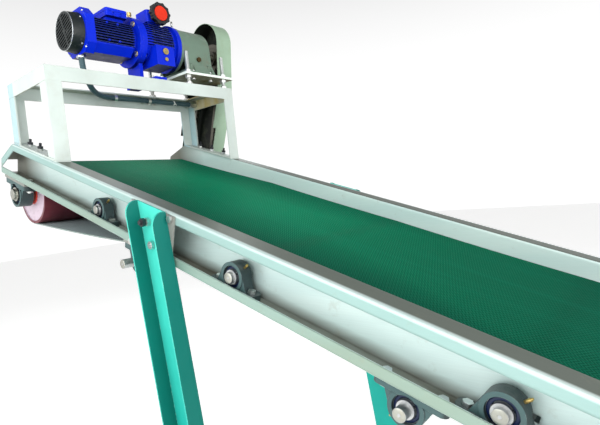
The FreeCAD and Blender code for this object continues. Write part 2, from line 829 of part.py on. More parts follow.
def terminal_box():
    outer = block(box_x0, box_y0, box_z0, box_x1, box_y1, box_z1)
    corners = [e for e in outer.Edges if abs(e.Length - (box_z1 - box_z0)) < 0.01]
    outer = outer.makeFillet(8, corners)
    body = outer.cut(block(box_x0 + 4, box_y0 + 4, box_z0 + 4, box_x1 - 4, box_y1 - 4, box_z1 + 1))
    knockouts = [ring(box_x1, y, (box_z0 + box_z1) / 2, 8, 5, 3, X_AXIS) for y in (box_y0 + 28, box_y0 + 60)]
    return body.fuse(knockouts)


def terminal_lid():
    outer = block(box_x0 - 1, box_y0 - 1, box_z1, box_x1 + 1, box_y1 + 1, box_z1 + lid_wall)
    corners = [e for e in outer.Edges if abs(e.Length - lid_wall) < 0.01]
    outer = outer.makeFillet(9, corners)
    return outer.cut(block(box_x0 + 4, box_y0 + 4, box_z1 - 1, box_x1 - 4, box_y1 - 4, box_z1 + lid_wall - 4))


# ================================================================ variator
sump_x1 = drive_x + 118
sump_y0 = casing_y + 22
sump_y1 = casing_y + 106
sump_z0 = drive_z - 106
sump_z1 = drive_z - 28
control_x0 = drive_x - 46
control_x1 = drive_x + 42
control_y0 = casing_y + 46
control_y1 = casing_y + 120
control_z1 = drive_z + 142
wheel_y = casing_y + 88
wheel_z = drive_z + 120
wheel_x = control_x1 + 26
spindle_radius = 7.0


def variator_bolts():
    """Bolts of the variator's foot through the tail-side beam."""
    y = variator_y + 22
    return [(bridge_x1 - angle_side / 2, y + dy) for dy in (-14, 14)]


def variator_housing():
    """Cast casing with flange, fins, sump and foot, hollow for the discs."""
    flange = drive_bar(variator_y, flange_radius, variator_flange_wall)
    casing = drive_bar(casing_y, variator_radius, variator_length)
    ribs = fins(casing_y, variator_length - 16, variator_radius + 11, 11, -18, 9, 3.5)
    sump = block(drive_x, sump_y0, sump_z0, sump_x1, sump_y1, sump_z1)
    tower = block(control_x0 + 8, control_y0 + 8, drive_z + 60, control_x1 - 8, control_y1 - 8, drive_z + 92)
    web = block(drive_x - 44, variator_y + 2, bridge_top + 12, drive_x + 44, variator_y + 18, drive_z - 60)
    sole = block(drive_x - 56, variator_y - 4, bridge_top, bridge_x1 - 6, variator_y + 48, bridge_top + 12)
    body = flange.fuse([casing, sump, tower, web, sole] + ribs.Solids).removeSplitter()
    body = body.cut(drive_bar(variator_y - 1, 52, variator_flange_wall + 2))
    body = body.cut(drive_bar(casing_y, variator_bore, variator_length - 12))
    body = body.cut(drive_bar(output_y - 20, gear_shaft + running_gap, 30))
    body = body.cut(block(drive_x + 40, sump_y0 + 8, sump_z0 + 8, sump_x1 - 8, sump_y1 - 8, sump_z1 - 8))
    body = body.cut(bar(drive_x, wheel_y - 12, drive_z + 40, 12, 60, Z_AXIS))
    for x, z in flange_bolt_places():
        body = body.cut(bar(x, variator_y - 1, z, 5 + bolt_clearance, variator_flange_wall + 2))
        body = body.cut(bar(x, casing_y, z, 10.5, 16))
    for x, y in variator_bolts():
        body = body.cut(bar(x, y, bridge_top - 1, 5 + bolt_clearance, 14, Z_AXIS))
    body = body.cut(bar(sump_x1 - 10, (sump_y0 + sump_y1) / 2, drive_z - 50, 9, 12, X_AXIS))
    body = body.cut(bar(sump_x1 - 10, (sump_y0 + sump_y1) / 2, drive_z - 82, 5, 12, X_AXIS))
    return body.cut(bar(drive_x, variator_y + 10, drive_z + flange_radius - 14, 5, 20, Z_AXIS))


def output_flange():
    """Round adaptor between variator and reducer."""
    return drive_ring(output_y, flange_radius, gear_shaft + running_gap, output_flange_wall)


def control_box():
    """Speed control head on the variator, with the bored boss of its handwheel."""
    low = drive_z + 92
    outer = block(control_x0, control_y0, low, control_x1, control_y1, control_z1)
    corners = [e for e in outer.Edges if abs(e.Length - (control_z1 - low)) < 0.01]
    outer = outer.makeFillet(12, corners)
    boss = bar(control_x1 - 4, wheel_y, wheel_z, 19, 18, X_AXIS)
    body = outer.fuse(boss).removeSplitter()
    body = body.cut(block(control_x0 + 8, control_y0 + 8, low - 1,
                          control_x1 - 8, control_y1 - 8, control_z1 - 8))
    return body.cut(bar(control_x0 + 8, wheel_y, wheel_z, spindle_radius + slip_fit,
                        wheel_x - control_x0, X_AXIS))


def handwheel():
    """Lobed rim with a dished centre on its bored hub."""
    disc = ring(wheel_x, wheel_y, wheel_z, 40, spindle_radius + slip_fit, 9, X_AXIS)
    rim = ring(wheel_x - 4, wheel_y, wheel_z, 42, 33, 20, X_AXIS)
    lobes = []
    for k in range(10):
        turn = 2 * math.pi * k / 10
        lobes.append(bar(wheel_x - 4, wheel_y + 38 * math.cos(turn), wheel_z + 38 * math.sin(turn),
                         8, 20, X_AXIS))
    hub = ring(wheel_x - 7, wheel_y, wheel_z, 14, spindle_radius + slip_fit, 20, X_AXIS)
    return disc.fuse([rim, hub] + lobes).removeSplitter()


def control_spindle():
    start = control_x0 + 12
    shaft = bar(start, wheel_y, wheel_z, spindle_radius, wheel_x + 12 - start, X_AXIS)
    return shaft.fuse(bar(drive_x - 20, wheel_y, wheel_z, 11, 24, X_AXIS)).removeSplitter()


def handwheel_cap():
    """Coloured disc in the middle of the handwheel."""
    return bar(wheel_x + 13, wheel_y, wheel_z, 29.5, 4, X_AXIS)


def oil_fittings():
    """Breather, small plug and sight-glass collar, all turned brass."""
    top = drive_z + flange_radius
    y = variator_y + 10
    breather = bar(drive_x, y, top - 14 + slip_fit, 5 - slip_fit, 16, Z_AXIS)
    breather = breather.fuse([hexagon(V(drive_x, y, top), 15, 8, Z_AXIS),
                              bar(drive_x, y, top + 8, 5, 5, Z_AXIS),
                              bar(drive_x, y, top + 13, 9, 13, Z_AXIS)]).removeSplitter()
    middle = (sump_y0 + sump_y1) / 2
    plug = bar(sump_x1 - 8, middle, drive_z - 82, 5 - slip_fit, 8, X_AXIS)
    plug = plug.fuse(hexagon(V(sump_x1, middle, drive_z - 82), 14, 5, X_AXIS))
    collar = bar(sump_x1 - 8, middle, drive_z - 50, 9 - slip_fit, 8, X_AXIS)
    collar = collar.fuse(bar(sump_x1, middle, drive_z - 50, 13, 5, X_AXIS))
    collar = collar.cut(bar(sump_x1 - 9, middle, drive_z - 50, 6.5, 20, X_AXIS))
    return [breather, plug, collar]


def sight_glass():
    return bar(sump_x1 - 6, (sump_y0 + sump_y1) / 2, drive_z - 50, 6.5 - slip_fit, 9, X_AXIS)


# ================================================================ reducer
layshaft_z = drive_z - gear_module * (pinion_teeth + wheel_teeth) / 2
stage_one_y = gearbox_y + 18
stage_two_y = stage_one_y + gear_width + 12
feet_x0 = drive_x - 118
feet_x1 = drive_x + 118
ear_height = 16.0


def reducer_housing():
    """Round cast gearbox that flares down to two feet."""
    flange = drive_bar(reducer_y, flange_radius - 3, reducer_flange_wall)
    barrel = drive_bar(gearbox_y, reducer_radius, reducer_length)
    skirt = profile([(drive_x - reducer_radius, drive_z), (drive_x + reducer_radius, drive_z),
                     (drive_x + 97, drive_z - 70), (feet_x1, motor_plate_top + ear_height),
                     (feet_x1, motor_plate_top), (feet_x0, motor_plate_top),
                     (feet_x0, motor_plate_top + ear_height), (drive_x - 97, drive_z - 70)],
                    gearbox_y, reducer_end)
    cover = drive_bar(reducer_end, 56, 10)
    body = flange.fuse([barrel, skirt, cover]).removeSplitter()
    inside = reducer_radius - reducer_wall
    room = drive_bar(gearbox_y, inside, reducer_length - reducer_wall)
    low_room = block(drive_x - inside, gearbox_y, layshaft_z - gear_module * wheel_teeth / 2 - 6,
                     drive_x + inside, reducer_end - reducer_wall, drive_z)
    body = body.cut(room).cut(low_room)
    body = body.cut(drive_bar(reducer_y - 1, gear_shaft + running_gap, 40))
    body = body.cut(drive_bar(reducer_end - 20, output_radius + running_gap, 40))
    body = body.cut(bar(drive_x, gearbox_y - 8, layshaft_z, gear_shaft + running_gap, 20))
    body = body.cut(bar(drive_x, reducer_end - 12, layshaft_z, gear_shaft + running_gap, 6))
    for x in (feet_x0 + 12, feet_x1 - 12):
        for y in (gearbox_y + 22, reducer_end - 22):
            body = body.cut(bar(x, y, motor_plate_top - 1, 5 + bolt_clearance, 40, Z_AXIS))
            body = body.cut(bar(x, y, motor_plate_top + ear_height, 11, 40, Z_AXIS))
    body = body.cut(bar(plug_point().x, plug_point().y, plug_point().z, 7, 20, -X_AXIS))
    return body.cut(bar(drive_x, gearbox_y + 16, drive_z + reducer_radius - 9, 6 + slip_fit, 12, Z_AXIS))


def plug_point():
    """Outer face of the reducer's oil plug seat."""
    return V(drive_x + reducer_radius + 3.5, gearbox_y + 66, drive_z - 52)


def reducer_plug():
    point = plug_point()
    head = hexagon(point, 20, 7, X_AXIS)
    return head.fuse(bar(point.x, point.y, point.z, 7 - slip_fit, 8, -X_AXIS)).removeSplitter()


def eye_bolt():
    y = gearbox_y + 16
    top = drive_z + reducer_radius
    stem = bar(drive_x, y, top - 8, 6, 14, Z_AXIS)
    collar = bar(drive_x, y, top, 11, 4, Z_AXIS)
    loop = Part.makeTorus(14, 4.5, V(drive_x, y, top + 21), Y_AXIS)
    loop.rotate(V(drive_x, y, top), Z_AXIS, -38)
    return stem.fuse([collar, loop]).removeSplitter()


def involute_gear(teeth, bore, width, y, phase):
    """Spur gear on the y axis with one tooth's middle at phase, measured from +z to +x."""
    pitch = gear_module * teeth / 2
    base = pitch * math.cos(math.radians(20))
    tip = pitch + gear_module
    root = pitch - 1.25 * gear_module
    half_pitch = math.pi / teeth / 2 - gear_backlash / pitch / 2
    involute_at_pitch = math.tan(math.radians(20)) - math.radians(20)
    points = []
    for k in range(teeth):
        middle = phase + 2 * math.pi * k / teeth
        flank = []
        for step in range(6):
            radius = max(base, root) + (tip - max(base, root)) * step / 5
            angle = math.acos(base / radius)
            flank.append((radius, half_pitch + involute_at_pitch - (math.tan(angle) - angle)))
        side = [(root, flank[0][1])] + flank
        points += [(radius, middle - angle) for radius, angle in side]
        points += [(radius, middle + angle) for radius, angle in reversed(side)]
    outline = [(radius * math.sin(angle), radius * math.cos(angle)) for radius, angle in points]
    gear = profile(outline, y, y + width)
    return gear.cut(bar(0, y - 1, 0, bore, width + 2)) if bore else gear


def at_axis(solid, z):
    moved = solid.copy()
    moved.translate(V(drive_x, 0, z))
    return moved


def input_pinion():
    """First pinion on the shaft that comes out of the variator, with its driven cone."""
    start = casing_y + 46
    shaft = drive_bar(start, gear_shaft, stage_one_y + gear_width + 4 - start)
    pinion = at_axis(involute_gear(pinion_teeth, 0, gear_width, stage_one_y, 0.0), drive_z)
    cone = drive_cone(casing_y + 52, 52, 40, 30)
    return shaft.fuse([pinion, cone]).removeSplitter()


def layshaft():
    """Middle shaft: first wheel and second pinion in one piece."""
    shaft = bar(drive_x, gearbox_y - 6, layshaft_z, gear_shaft, reducer_end - 8 - gearbox_y)
    wheel = at_axis(involute_gear(wheel_teeth, 0, gear_width - 2, stage_one_y + 1, 0.0), layshaft_z)
    pinion = at_axis(involute_gear(pinion_teeth, 0, gear_width, stage_two_y, 0.0), layshaft_z)
    return shaft.fuse([wheel, pinion]).removeSplitter()


def output_wheel():
    """Second wheel, keyed to the output shaft; a tooth gap faces the layshaft."""
    phase = math.pi + math.pi / wheel_teeth
    wheel = involute_gear(wheel_teeth, output_radius + slip_fit, gear_width - 2, stage_two_y + 1, phase)
    return at_axis(wheel, drive_z)


def output_shaft():
    start = stage_two_y - 4
    return drive_bar(start, output_radius, chain_y + 14 - start)


# ================================================================ drive mounting
def rod_places():
    """Threaded rods: two through each long beam."""
    return [(x, y) for x in (bridge_x0 + angle_side / 2, bridge_x1 - angle_side / 2) for y in rod_ys]


def motor_plate():
    plate = block(bridge_x0 + 4, motor_plate_y0, motor_plate_top - motor_plate_wall,
                  bridge_x1 - 4, motor_plate_y1, motor_plate_top)
    for x, y in rod_places():
        plate = plate.cut(bar(x, y, motor_plate_top - 20, rod_radius + bolt_clearance, 30, Z_AXIS))
    for x in (feet_x0 + 12, feet_x1 - 12):
        for y in (gearbox_y + 22, reducer_end - 22):
            plate = plate.cut(bar(x, y, motor_plate_top - 20, 5 + bolt_clearance, 30, Z_AXIS))
    return plate


def threaded_rods():
    return [bar(x, y, rod_bottom, rod_radius, rod_top - rod_bottom, Z_AXIS) for x, y in rod_places()]


def rod_nuts():
    """Nuts above and below the beam flange and the motor plate on each rod."""
    height = 12.0
    levels = [bridge_top, bridge_top - angle_wall - height, motor_plate_top,
              motor_plate_top - motor_plate_wall - height]
    nuts = []
    for x, y in rod_places():
        for z in levels:
            nut = hexagon(V(x, y, z), 24, height, Z_AXIS)
            nuts.append(nut.cut(bar(x, y, z - 1, rod_radius + slip_fit, height + 2, Z_AXIS)))
    return nuts


def drive_bolts():
    """Bolts of the motor flange, the reducer feet and the variator foot."""
    pieces = []
    for x, z in flange_bolt_places():
        pieces += bolt(V(x, flange_y, z), Y_AXIS, 10, flange_wall + variator_flange_wall)
    for x in (feet_x0 + 12, feet_x1 - 12):
        for y in (gearbox_y + 22, reducer_end - 22):
            pieces += bolt(V(x, y, motor_plate_top - motor_plate_wall), Z_AXIS, 10,
                           motor_plate_wall + ear_height)
    for x, y in variator_bolts():
        pieces += bolt(V(x, y, bridge_top + 12), -Z_AXIS, 10, 12 + angle_wall)
    return pieces


# ================================================================ chain drive
def head_centre():
    return level_point(head_x, 0, head_z)


def sprocket_pitch(teeth):
    return chain_pitch / 2 / math.sin(math.pi / teeth)


def sprocket(teeth, bore, phase):
    """Chain sprocket on the y axis, drawn with straight-sided teeth and round seats."""
    pitch = sprocket_pitch(teeth)
    tip = pitch + 0.28 * chain_pitch
    half = sprocket_wall / 2
    disc = Part.makeCylinder(tip, sprocket_wall, V(0, -half, 0), Y_AXIS)
    seats = []
    for k in range(teeth):
        angle = phase + 2 * math.pi * k / teeth
        x = pitch * math.cos(angle)
        z = pitch * math.sin(angle)
        seat = bar(x, -half - 1, z, chain_roller + 0.4, sprocket_wall + 2)
        gap = block(0, -half - 1, -chain_roller - 0.4, 14, half + 1, chain_roller + 0.4)
        gap.rotate(V(0, 0, 0), Y_AXIS, -math.degrees(angle))
        gap.translate(V(x, 0, z))
        seats += [seat, gap]
    hub = bar(0, -half - 13, 0, bore + 16, 13 + half)
    return disc.cut(Part.makeCompound(seats)).fuse(hub).cut(bar(0, -60, 0, bore + slip_fit, 120))


def sprocket_at(teeth, bore, phase, x, z):
    moved = sprocket(teeth, bore, phase)
    moved.translate(V(x, chain_y, z))
    return moved


def chain_line():
    """The two sprocket centres with their pitch radii, as rollers of a loop."""
    centre = head_centre()
    return [(centre.x, centre.z, sprocket_pitch(driven_teeth)),
            (drive_x, drive_z, sprocket_pitch(drive_teeth))]


def chain_band(offset0, offset1, y0, y1):
    """Band round both sprockets between two offsets from the pitch line."""
    outer = loop_face([(x, z, r + offset1) for x, z, r in chain_line()], y0)
    inner = loop_face([(x, z, r + offset0) for x, z, r in chain_line()], y0)
    depth = V(0, y1 - y0, 0)
    return outer.extrude(depth).cut(inner.extrude(depth))


def drive_chain():
    """Two rows of link plates, joined by rollers along the straight runs."""
    half = link_height / 2
    near = chain_band(-half, half, chain_y - chain_gap / 2 - link_wall, chain_y - chain_gap / 2)
    far = chain_band(-half, half, chain_y + chain_gap / 2, chain_y + chain_gap / 2 + link_wall)
    rollers = []
    for start, stop in chain_runs():
        count = int(start.distanceToPoint(stop) / chain_pitch) - 5
        along = (stop - start).normalize()
        first = start + along * ((start.distanceToPoint(stop) - (count - 1) * chain_pitch) / 2)
        for k in range(count):
            point = first + along * (k * chain_pitch)
            rollers.append(bar(point.x, chain_y - chain_gap / 2, point.z, chain_roller, chain_gap))
    return near.fuse([far] + rollers)


def chain_runs():
    """Ends of the two straight runs on the pitch line."""
    line = chain_line()
    runs = []
    for first, second in ((line[0], line[1]), (line[1], line[0])):
        nx, nz = tangent(first, second)
        runs.append((V(first[0] + first[2] * nx, chain_y, first[1] + first[2] * nz),
                     V(second[0] + second[2] * nx, chain_y, second[1] + second[2] * nz)))
    return runs


def guard_line(inset):
    centre = head_centre()
    knee_x, knee_z, knee_radius = guard_knee
    return [(centre.x, centre.z, guard_foot_radius - inset),
            (guard_top_x, guard_top_z, guard_top_radius - inset),
            (knee_x, knee_z, knee_radius - inset)]


def chain_guard():
    """Sheet box over the chain, open towards the bridge, its rim cut out for rail and motor plate."""
    depth = guard_y1 - guard_y0
    outer = loop_face(guard_line(0), guard_y0).extrude(V(0, depth, 0))
    inner = loop_face(guard_line(guard_wall), guard_y0).extrude(V(0, depth - guard_wall, 0))
    past_rail = overall_width + guard_gap
    past_plate = motor_plate_y1 + guard_gap
    plate_low = motor_plate_top - motor_plate_wall - guard_gap
    for low, high, past in ((-floor_drop, rail_flange, past_rail),
                            (plate_low, motor_plate_top + guard_gap, past_plate)):
        outer = outer.cut(block(-bridge_x1, guard_y0 - 1, low, 2 * bridge_x1, past, high))
    box = outer.cut(inner)
    bracket_y = corner_radius + bridge_width
    for x, z in guard_tab_places():
        box = box.fuse(block(x - 14, bracket_y, z - 12, x + 14, guard_y0 + 10, z - 8))
        box = box.fuse(block(x - 14, bracket_y, z - 12, x + 14, bracket_y + 3, z + 14))
    return box.removeSplitter()


def guard_tab_places():
    """Where welded tabs of the guard meet the far side of the bridge."""
    level = bridge_top - angle_side / 2
    places = []
    foot_end, top_end, knee = guard_line(0)
    for line, inward in (((foot_end, top_end), 8), ((knee, foot_end), -8)):
        nx, nz = tangent(*line)
        start = (line[0][0] + line[0][2] * nx, line[0][1] + line[0][2] * nz)
        stop = (line[1][0] + line[1][2] * nx, line[1][1] + line[1][2] * nz)
        part = (level - start[1]) / (stop[1] - start[1])
        places.append((start[0] + part * (stop[0] - start[0]) + inward, level))
    return places


# ================================================================ conduit
conduit_radius = 11.0
conduit_x = bridge_x0 + 60
conduit_z = bridge_top - 24
conduit_y = shield_y + 10
CONDUIT = [(drive_x, conduit_y, drive_z - shield_half - 8), (drive_x, conduit_y, 262),
           (drive_x - 8, conduit_y + 18, 218), (drive_x - 46, conduit_y + 56, 190),
           (conduit_x, conduit_y + 124, conduit_z), (conduit_x, conduit_y + 200, conduit_z - 1),
           (conduit_x, conduit_y + 300, conduit_z), (conduit_x, conduit_y + 410, conduit_z - 1),
           (conduit_x, corner_radius + bridge_width - 40, conduit_z)]


def round_route(points):
    """Straight runs joined by the largest tangent arcs their runs allow."""
    route = [V(*p) for p in points]
    edges = []
    last = route[0]
    for k in range(1, len(route) - 1):
        before = (route[k] - route[k - 1])
        after = (route[k + 1] - route[k])
        turn = before.getAngle(after)
        trim = 0.45 * min(before.Length, after.Length)
        start = route[k] - V(before).normalize() * trim
        stop = route[k] + V(after).normalize() * trim
        radius = trim / math.tan(turn / 2)
        print("conduit bend", k, "radius", round(radius, 1))
        inward = (V(after).normalize() - V(before).normalize()).normalize()
        middle = route[k] + inward * (radius / math.cos(turn / 2) - radius)
        edges.append(Part.LineSegment(last, start).toShape())
        edges.append(Part.Arc(start, middle, stop).toShape())
        last = stop
    edges.append(Part.LineSegment(last, route[-1]).toShape())
    return Part.Wire(edges)


def conduit():
    path = round_route(CONDUIT)
    start = V(*CONDUIT[0])
    circle = Part.Wire(Part.makeCircle(conduit_radius, start, V(*CONDUIT[1]) - start))
    pipe = path.makePipeShell([circle], True, False)
    print("conduit volume ratio", pipe.Volume / (math.pi * conduit_radius ** 2 * path.Length))
    return pipe


def conduit_glands():
    """Hexagon glands at the motor and at the far beam."""
    top = V(*CONDUIT[0])
    end = V(*CONDUIT[-1])
    motor = hexagon(top, 30, drive_z - shield_half - top.z, Z_AXIS)
    wall_y = corner_radius + bridge_width - angle_wall
    beam = hexagon(end + V(0, running_gap, 0), 30, wall_y - end.y - running_gap, Y_AXIS)
    return [motor, beam]


def conduit_clips():
    """Saddle clips that carry the conduit off the head beam."""
    clips = []
    for y in (conduit_y + 170, conduit_y + 330):
        band = ring(conduit_x, y, conduit_z - 1, conduit_radius + 3.5, conduit_radius + 1.5, 12)
        arm = block(bridge_x0 + angle_wall, y, conduit_z - 1 - 1.5, conduit_x - conduit_radius - 2, y + 12,
                    conduit_z - 1 + 1.5)
        clips.append(band.fuse(arm).removeSplitter())
    return clips


# ================================================================ assembly
def roller_nodes():
    """Every roller with its two inner rings, in the level frame."""
    nodes = {}
    for k, x in enumerate(carrier_xs):
        solids = [roller(x, carrier_z, carrier_radius, SMALL["bore"] / 2, -shaft_inset)]
        nodes["carrying_roller_%d" % (k + 1)] = tilt_all(solids + inner_rings(SMALL, x, carrier_z))
    for k, (x, z) in enumerate(zip(return_places, return_zs)):
        solids = [roller(x, z, return_radius, SMALL["bore"] / 2, hung_shaft_reach[k])]
        nodes["return_roller_%d" % (k + 1)] = tilt_all(solids + inner_rings(SMALL, x, z))
    return nodes


def structure_nodes():
    feet = [foot(x) for x in (head_leg_x, tail_leg_x)]
    return {
        "near_rail": [tilt(rail().cut(web_slot()))],
        "far_rail": [tilt(far_side(rail()))],
        "cross_tubes": tilt_all(cross_tubes()),
        "leg_brackets": tilt_all(both_sides([bracket(head_leg_x), bracket(tail_leg_x)])),
        "head_legs": leg_set(head_leg_x),
        "tail_legs": leg_set(tail_leg_x),
        "leg_feet": both_sides(feet),
        "frame_bolts": frame_bolts() + drive_bolts(),
        "bridge_posts": posts() + tilt_all(base_bars()),
        "bridge_beams": beams(),
    }


def belt_nodes():
    nodes = {
        "belt": [tilt(belt())],
        "head_drum": [tilt(drum(head_x, head_z, head_radius, LARGE["bore"] / 2 + slip_fit))],
        "head_shaft": tilt_all([head_shaft()] + inner_rings(LARGE, head_x, head_z)),
        "tail_drum": tilt_all([drum(tail_x, tail_z, tail_radius, LARGE["bore"] / 2 + slip_fit),
                               bar(tail_x, -4, tail_z, LARGE["bore"] / 2, overall_width + 8)]
                              + inner_rings(LARGE, tail_x, tail_z)),
        "roller_bearing_housings": tilt_all(at_stations(housing, SMALL)),
        "drum_bearing_housings": tilt_all(at_stations(housing, LARGE)),
        "bearing_inserts": tilt_all(at_stations(insert, SMALL) + at_stations(insert, LARGE)),
        "grease_nipples": tilt_all(at_stations(nipple, SMALL) + at_stations(nipple, LARGE)),
        "bearing_packers": tilt_all(packers()),
        "bearing_bolts": tilt_all(block_bolts()),
        "take_up_screws": tilt_all(take_up()),
    }
    nodes.update(roller_nodes())
    return nodes


def drive_nodes():
    centre = head_centre()
    nx, nz = tangent(chain_line()[0], chain_line()[1])
    along = math.atan2(nz, nx)
    return {
        "fan_cover": [fan_cover()],
        "cooling_fan": [cooling_fan()],
        "motor_rotor": [rotor()],
        "motor_end_shield": [end_shield()],
        "motor_frame": [motor_frame()],
        "stator": [stator()],
        "motor_flange": [motor_flange()],
        "terminal_box": [terminal_box()],
        "terminal_lid": [terminal_lid()],
        "variator_housing": [variator_housing()],
        "control_box": [control_box()],
        "control_spindle": [control_spindle()],
        "handwheel": [handwheel()],
        "handwheel_cap": [handwheel_cap()],
        "oil_fittings": oil_fittings() + [reducer_plug()],
        "sight_glass": [sight_glass()],
        "output_flange": [output_flange()],
        "reducer_housing": [reducer_housing()],
        "eye_bolt": [eye_bolt()],
        "input_pinion": [input_pinion()],
        "layshaft": [layshaft()],
        "output_wheel": [output_wheel()],
        "output_shaft": [output_shaft()],
        "drive_sprocket": [sprocket_at(drive_teeth, output_radius, along, drive_x, drive_z)],
        "driven_sprocket": [sprocket_at(driven_teeth, LARGE["bore"] / 2, along, centre.x, centre.z)],
        "drive_chain": [drive_chain()],
        "chain_guard": [chain_guard()],
        "motor_plate": [motor_plate()],
        "threaded_rods": threaded_rods(),
        "rod_nuts": rod_nuts(),
        "conduit": [conduit()],
        "conduit_fittings": conduit_glands() + conduit_clips(),
    }


def floor_centre(nodes):
    """Middle of the whole conveyor at floor level, in the level frame."""
    box = FreeCAD.BoundBox()
    for solids in nodes.values():
        for solid in solids:
            box.add(solid.optimalBoundingBox(False))
    return V(box.Center.x, box.Center.y, box.ZMin)


def build():
    """All nodes in their final places, and the move that put them there."""
    nodes = {}
    for group in (structure_nodes(), belt_nodes(), drive_nodes()):
        nodes.update(group)
    origin = floor_centre(nodes)
    for solids in nodes.values():
        for solid in solids:
            solid.translate(-origin)
    return nodes, origin


def main():
    nodes, origin = build()
    os.makedirs("parts", exist_ok=True)
    for name, solids in nodes.items():
        shape = solids[0] if len(solids) == 1 else Part.makeCompound(solids)
        shape.exportStep("parts/%s.step" % name)


if __name__ == "__main__":
    main()
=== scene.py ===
"""Looks of the inclined belt conveyor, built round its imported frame. Lengths are in metres."""
import json
import math
from itertools import product

import bmesh
import bpy
from mathutils import Matrix, Vector, noise

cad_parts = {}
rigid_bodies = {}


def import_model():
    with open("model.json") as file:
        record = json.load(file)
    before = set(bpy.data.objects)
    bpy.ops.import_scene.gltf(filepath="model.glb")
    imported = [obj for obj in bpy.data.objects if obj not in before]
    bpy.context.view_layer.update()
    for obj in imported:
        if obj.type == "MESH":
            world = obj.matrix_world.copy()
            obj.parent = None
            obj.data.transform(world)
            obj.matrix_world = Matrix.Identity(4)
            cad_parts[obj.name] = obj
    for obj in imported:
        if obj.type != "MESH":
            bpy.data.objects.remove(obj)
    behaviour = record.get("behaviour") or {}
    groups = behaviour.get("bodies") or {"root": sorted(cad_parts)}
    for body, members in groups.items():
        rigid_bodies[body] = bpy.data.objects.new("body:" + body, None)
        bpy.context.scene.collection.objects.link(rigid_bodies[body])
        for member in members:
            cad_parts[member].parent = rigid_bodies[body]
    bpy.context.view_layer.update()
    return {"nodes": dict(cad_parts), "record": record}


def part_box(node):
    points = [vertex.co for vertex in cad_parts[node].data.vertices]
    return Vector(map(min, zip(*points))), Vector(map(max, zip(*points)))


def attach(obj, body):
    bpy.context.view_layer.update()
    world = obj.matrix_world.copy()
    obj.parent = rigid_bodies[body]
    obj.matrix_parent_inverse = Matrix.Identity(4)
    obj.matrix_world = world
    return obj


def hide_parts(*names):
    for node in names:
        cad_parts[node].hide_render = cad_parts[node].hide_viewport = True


for thing in list(bpy.data.objects):
    bpy.data.objects.remove(thing)
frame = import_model()
NODES = frame["nodes"]
MM = 0.001

# ---------------------------------------------------------------- places
# The bridge and the legs, in millimetres from the head corner of the near rail.
POST_SPANS = ((11.0, 61.0), (286.5, 336.5))
BRIDGE_NEAR, BRIDGE_FAR = 5.0, 810.0
BEAM_UNDER, BEAM_TOP = 161.0, 211.0
BOLT_INSET = 30.0
LEG_PLACES = (856.0, 2140.0)

INCLINE = math.radians(17.5)
CORNER = Vector((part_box("bridge_beams")[0].x - POST_SPANS[0][0] * MM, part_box("near_rail")[0].y,
                 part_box("bridge_beams")[1].z - BEAM_TOP * MM))
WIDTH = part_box("far_rail")[1].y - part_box("near_rail")[0].y
FLOOR_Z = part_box("leg_feet")[0].z


def middle_of(node):
    low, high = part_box(node)
    return (low + high) / 2


def level(x, y, z):
    """Point in the level frame of the head corner, from millimetres."""
    return CORNER + Vector((x, y, z)) * MM


def sloped(u, y, w):
    """Point in the belt frame: u along the rails, w square to them, from millimetres."""
    c, s = math.cos(INCLINE), math.sin(INCLINE)
    return level(u * c + w * s, y, w * c - u * s)


DRIVE = Vector((middle_of("motor_flange").x, 0, middle_of("motor_flange").z))


# ---------------------------------------------------------------- camera and light
def make_camera():
    """The camera of the photo, placed from the head corner."""
    data = bpy.data.cameras.new("camera")
    data.lens = 28.19
    data.sensor_width = 36
    eye = bpy.data.objects.new("camera", data)
    place = CORNER + Vector((1.9198, -0.6672, -0.2720))
    ahead = Vector((-0.64575, 0.76198, -0.04903))
    up = Vector((0.04380, 0.10107, 0.99391))
    right = ahead.cross(up).normalized()
    up = right.cross(ahead).normalized()
    turn = Matrix((right, up, -ahead)).transposed().to_4x4()
    eye.matrix_world = Matrix.Translation(place) @ turn
    bpy.context.scene.collection.objects.link(eye)
    bpy.context.scene.camera = eye


def area_light(name, place, aim, size, power, tint=(1, 1, 1)):
    data = bpy.data.lights.new(name, "AREA")
    data.shape = "RECTANGLE"
    data.size, data.size_y = size
    data.energy = power
    data.color = tint
    lamp = bpy.data.objects.new(name, data)
    lamp.location = place
    lamp.rotation_euler = (Vector(aim) - Vector(place)).to_track_quat("-Z", "Y").to_euler()
    bpy.context.scene.collection.objects.link(lamp)


def make_studio():
    """White at the level of the eye and darker overhead, with four soft lamps."""
    scene = bpy.context.scene
    scene.view_settings.view_transform = "Standard"
    world = bpy.data.worlds.new("studio")
    scene.world = world
    world.use_nodes = True
    nodes, links = world.node_tree.nodes, world.node_tree.links
    split = nodes.new("ShaderNodeSeparateXYZ")
    links.new(nodes.new("ShaderNodeTexCoord").outputs["Generated"], split.inputs["Vector"])
    ramp = nodes.new("ShaderNodeMapRange")
    ramp.interpolation_type = "SMOOTHSTEP"
    for key, number in (("From Min", 0.16), ("From Max", 0.85), ("To Min", 1.05), ("To Max", 0.16)):
        ramp.inputs[key].default_value = number
    links.new(split.outputs["Z"], ramp.inputs["Value"])
    links.new(ramp.outputs["Result"], nodes["Background"].inputs["Strength"])
    nodes["Background"].inputs["Color"].default_value = (1, 1, 1, 1)
    area_light("key_light", (1.6, -3.2, 3.6), (-0.4, 0, 1.1), (2.2, 2.2), 80)
    area_light("front_light", (-1.4, -4.2, 1.9), (-0.7, 0, 1.2), (3.2, 2.6), 82, (0.96, 1, 1))
    area_light("tail_light", (4.4, -0.8, 1.5), (-0.9, 0.1, 1.6), (2.6, 2.2), 140)
    area_light("rim_light", (-3.6, 2.2, 3.4), (-0.6, 0, 1.2), (2.2, 1.6), 30, (0.95, 0.98, 1))


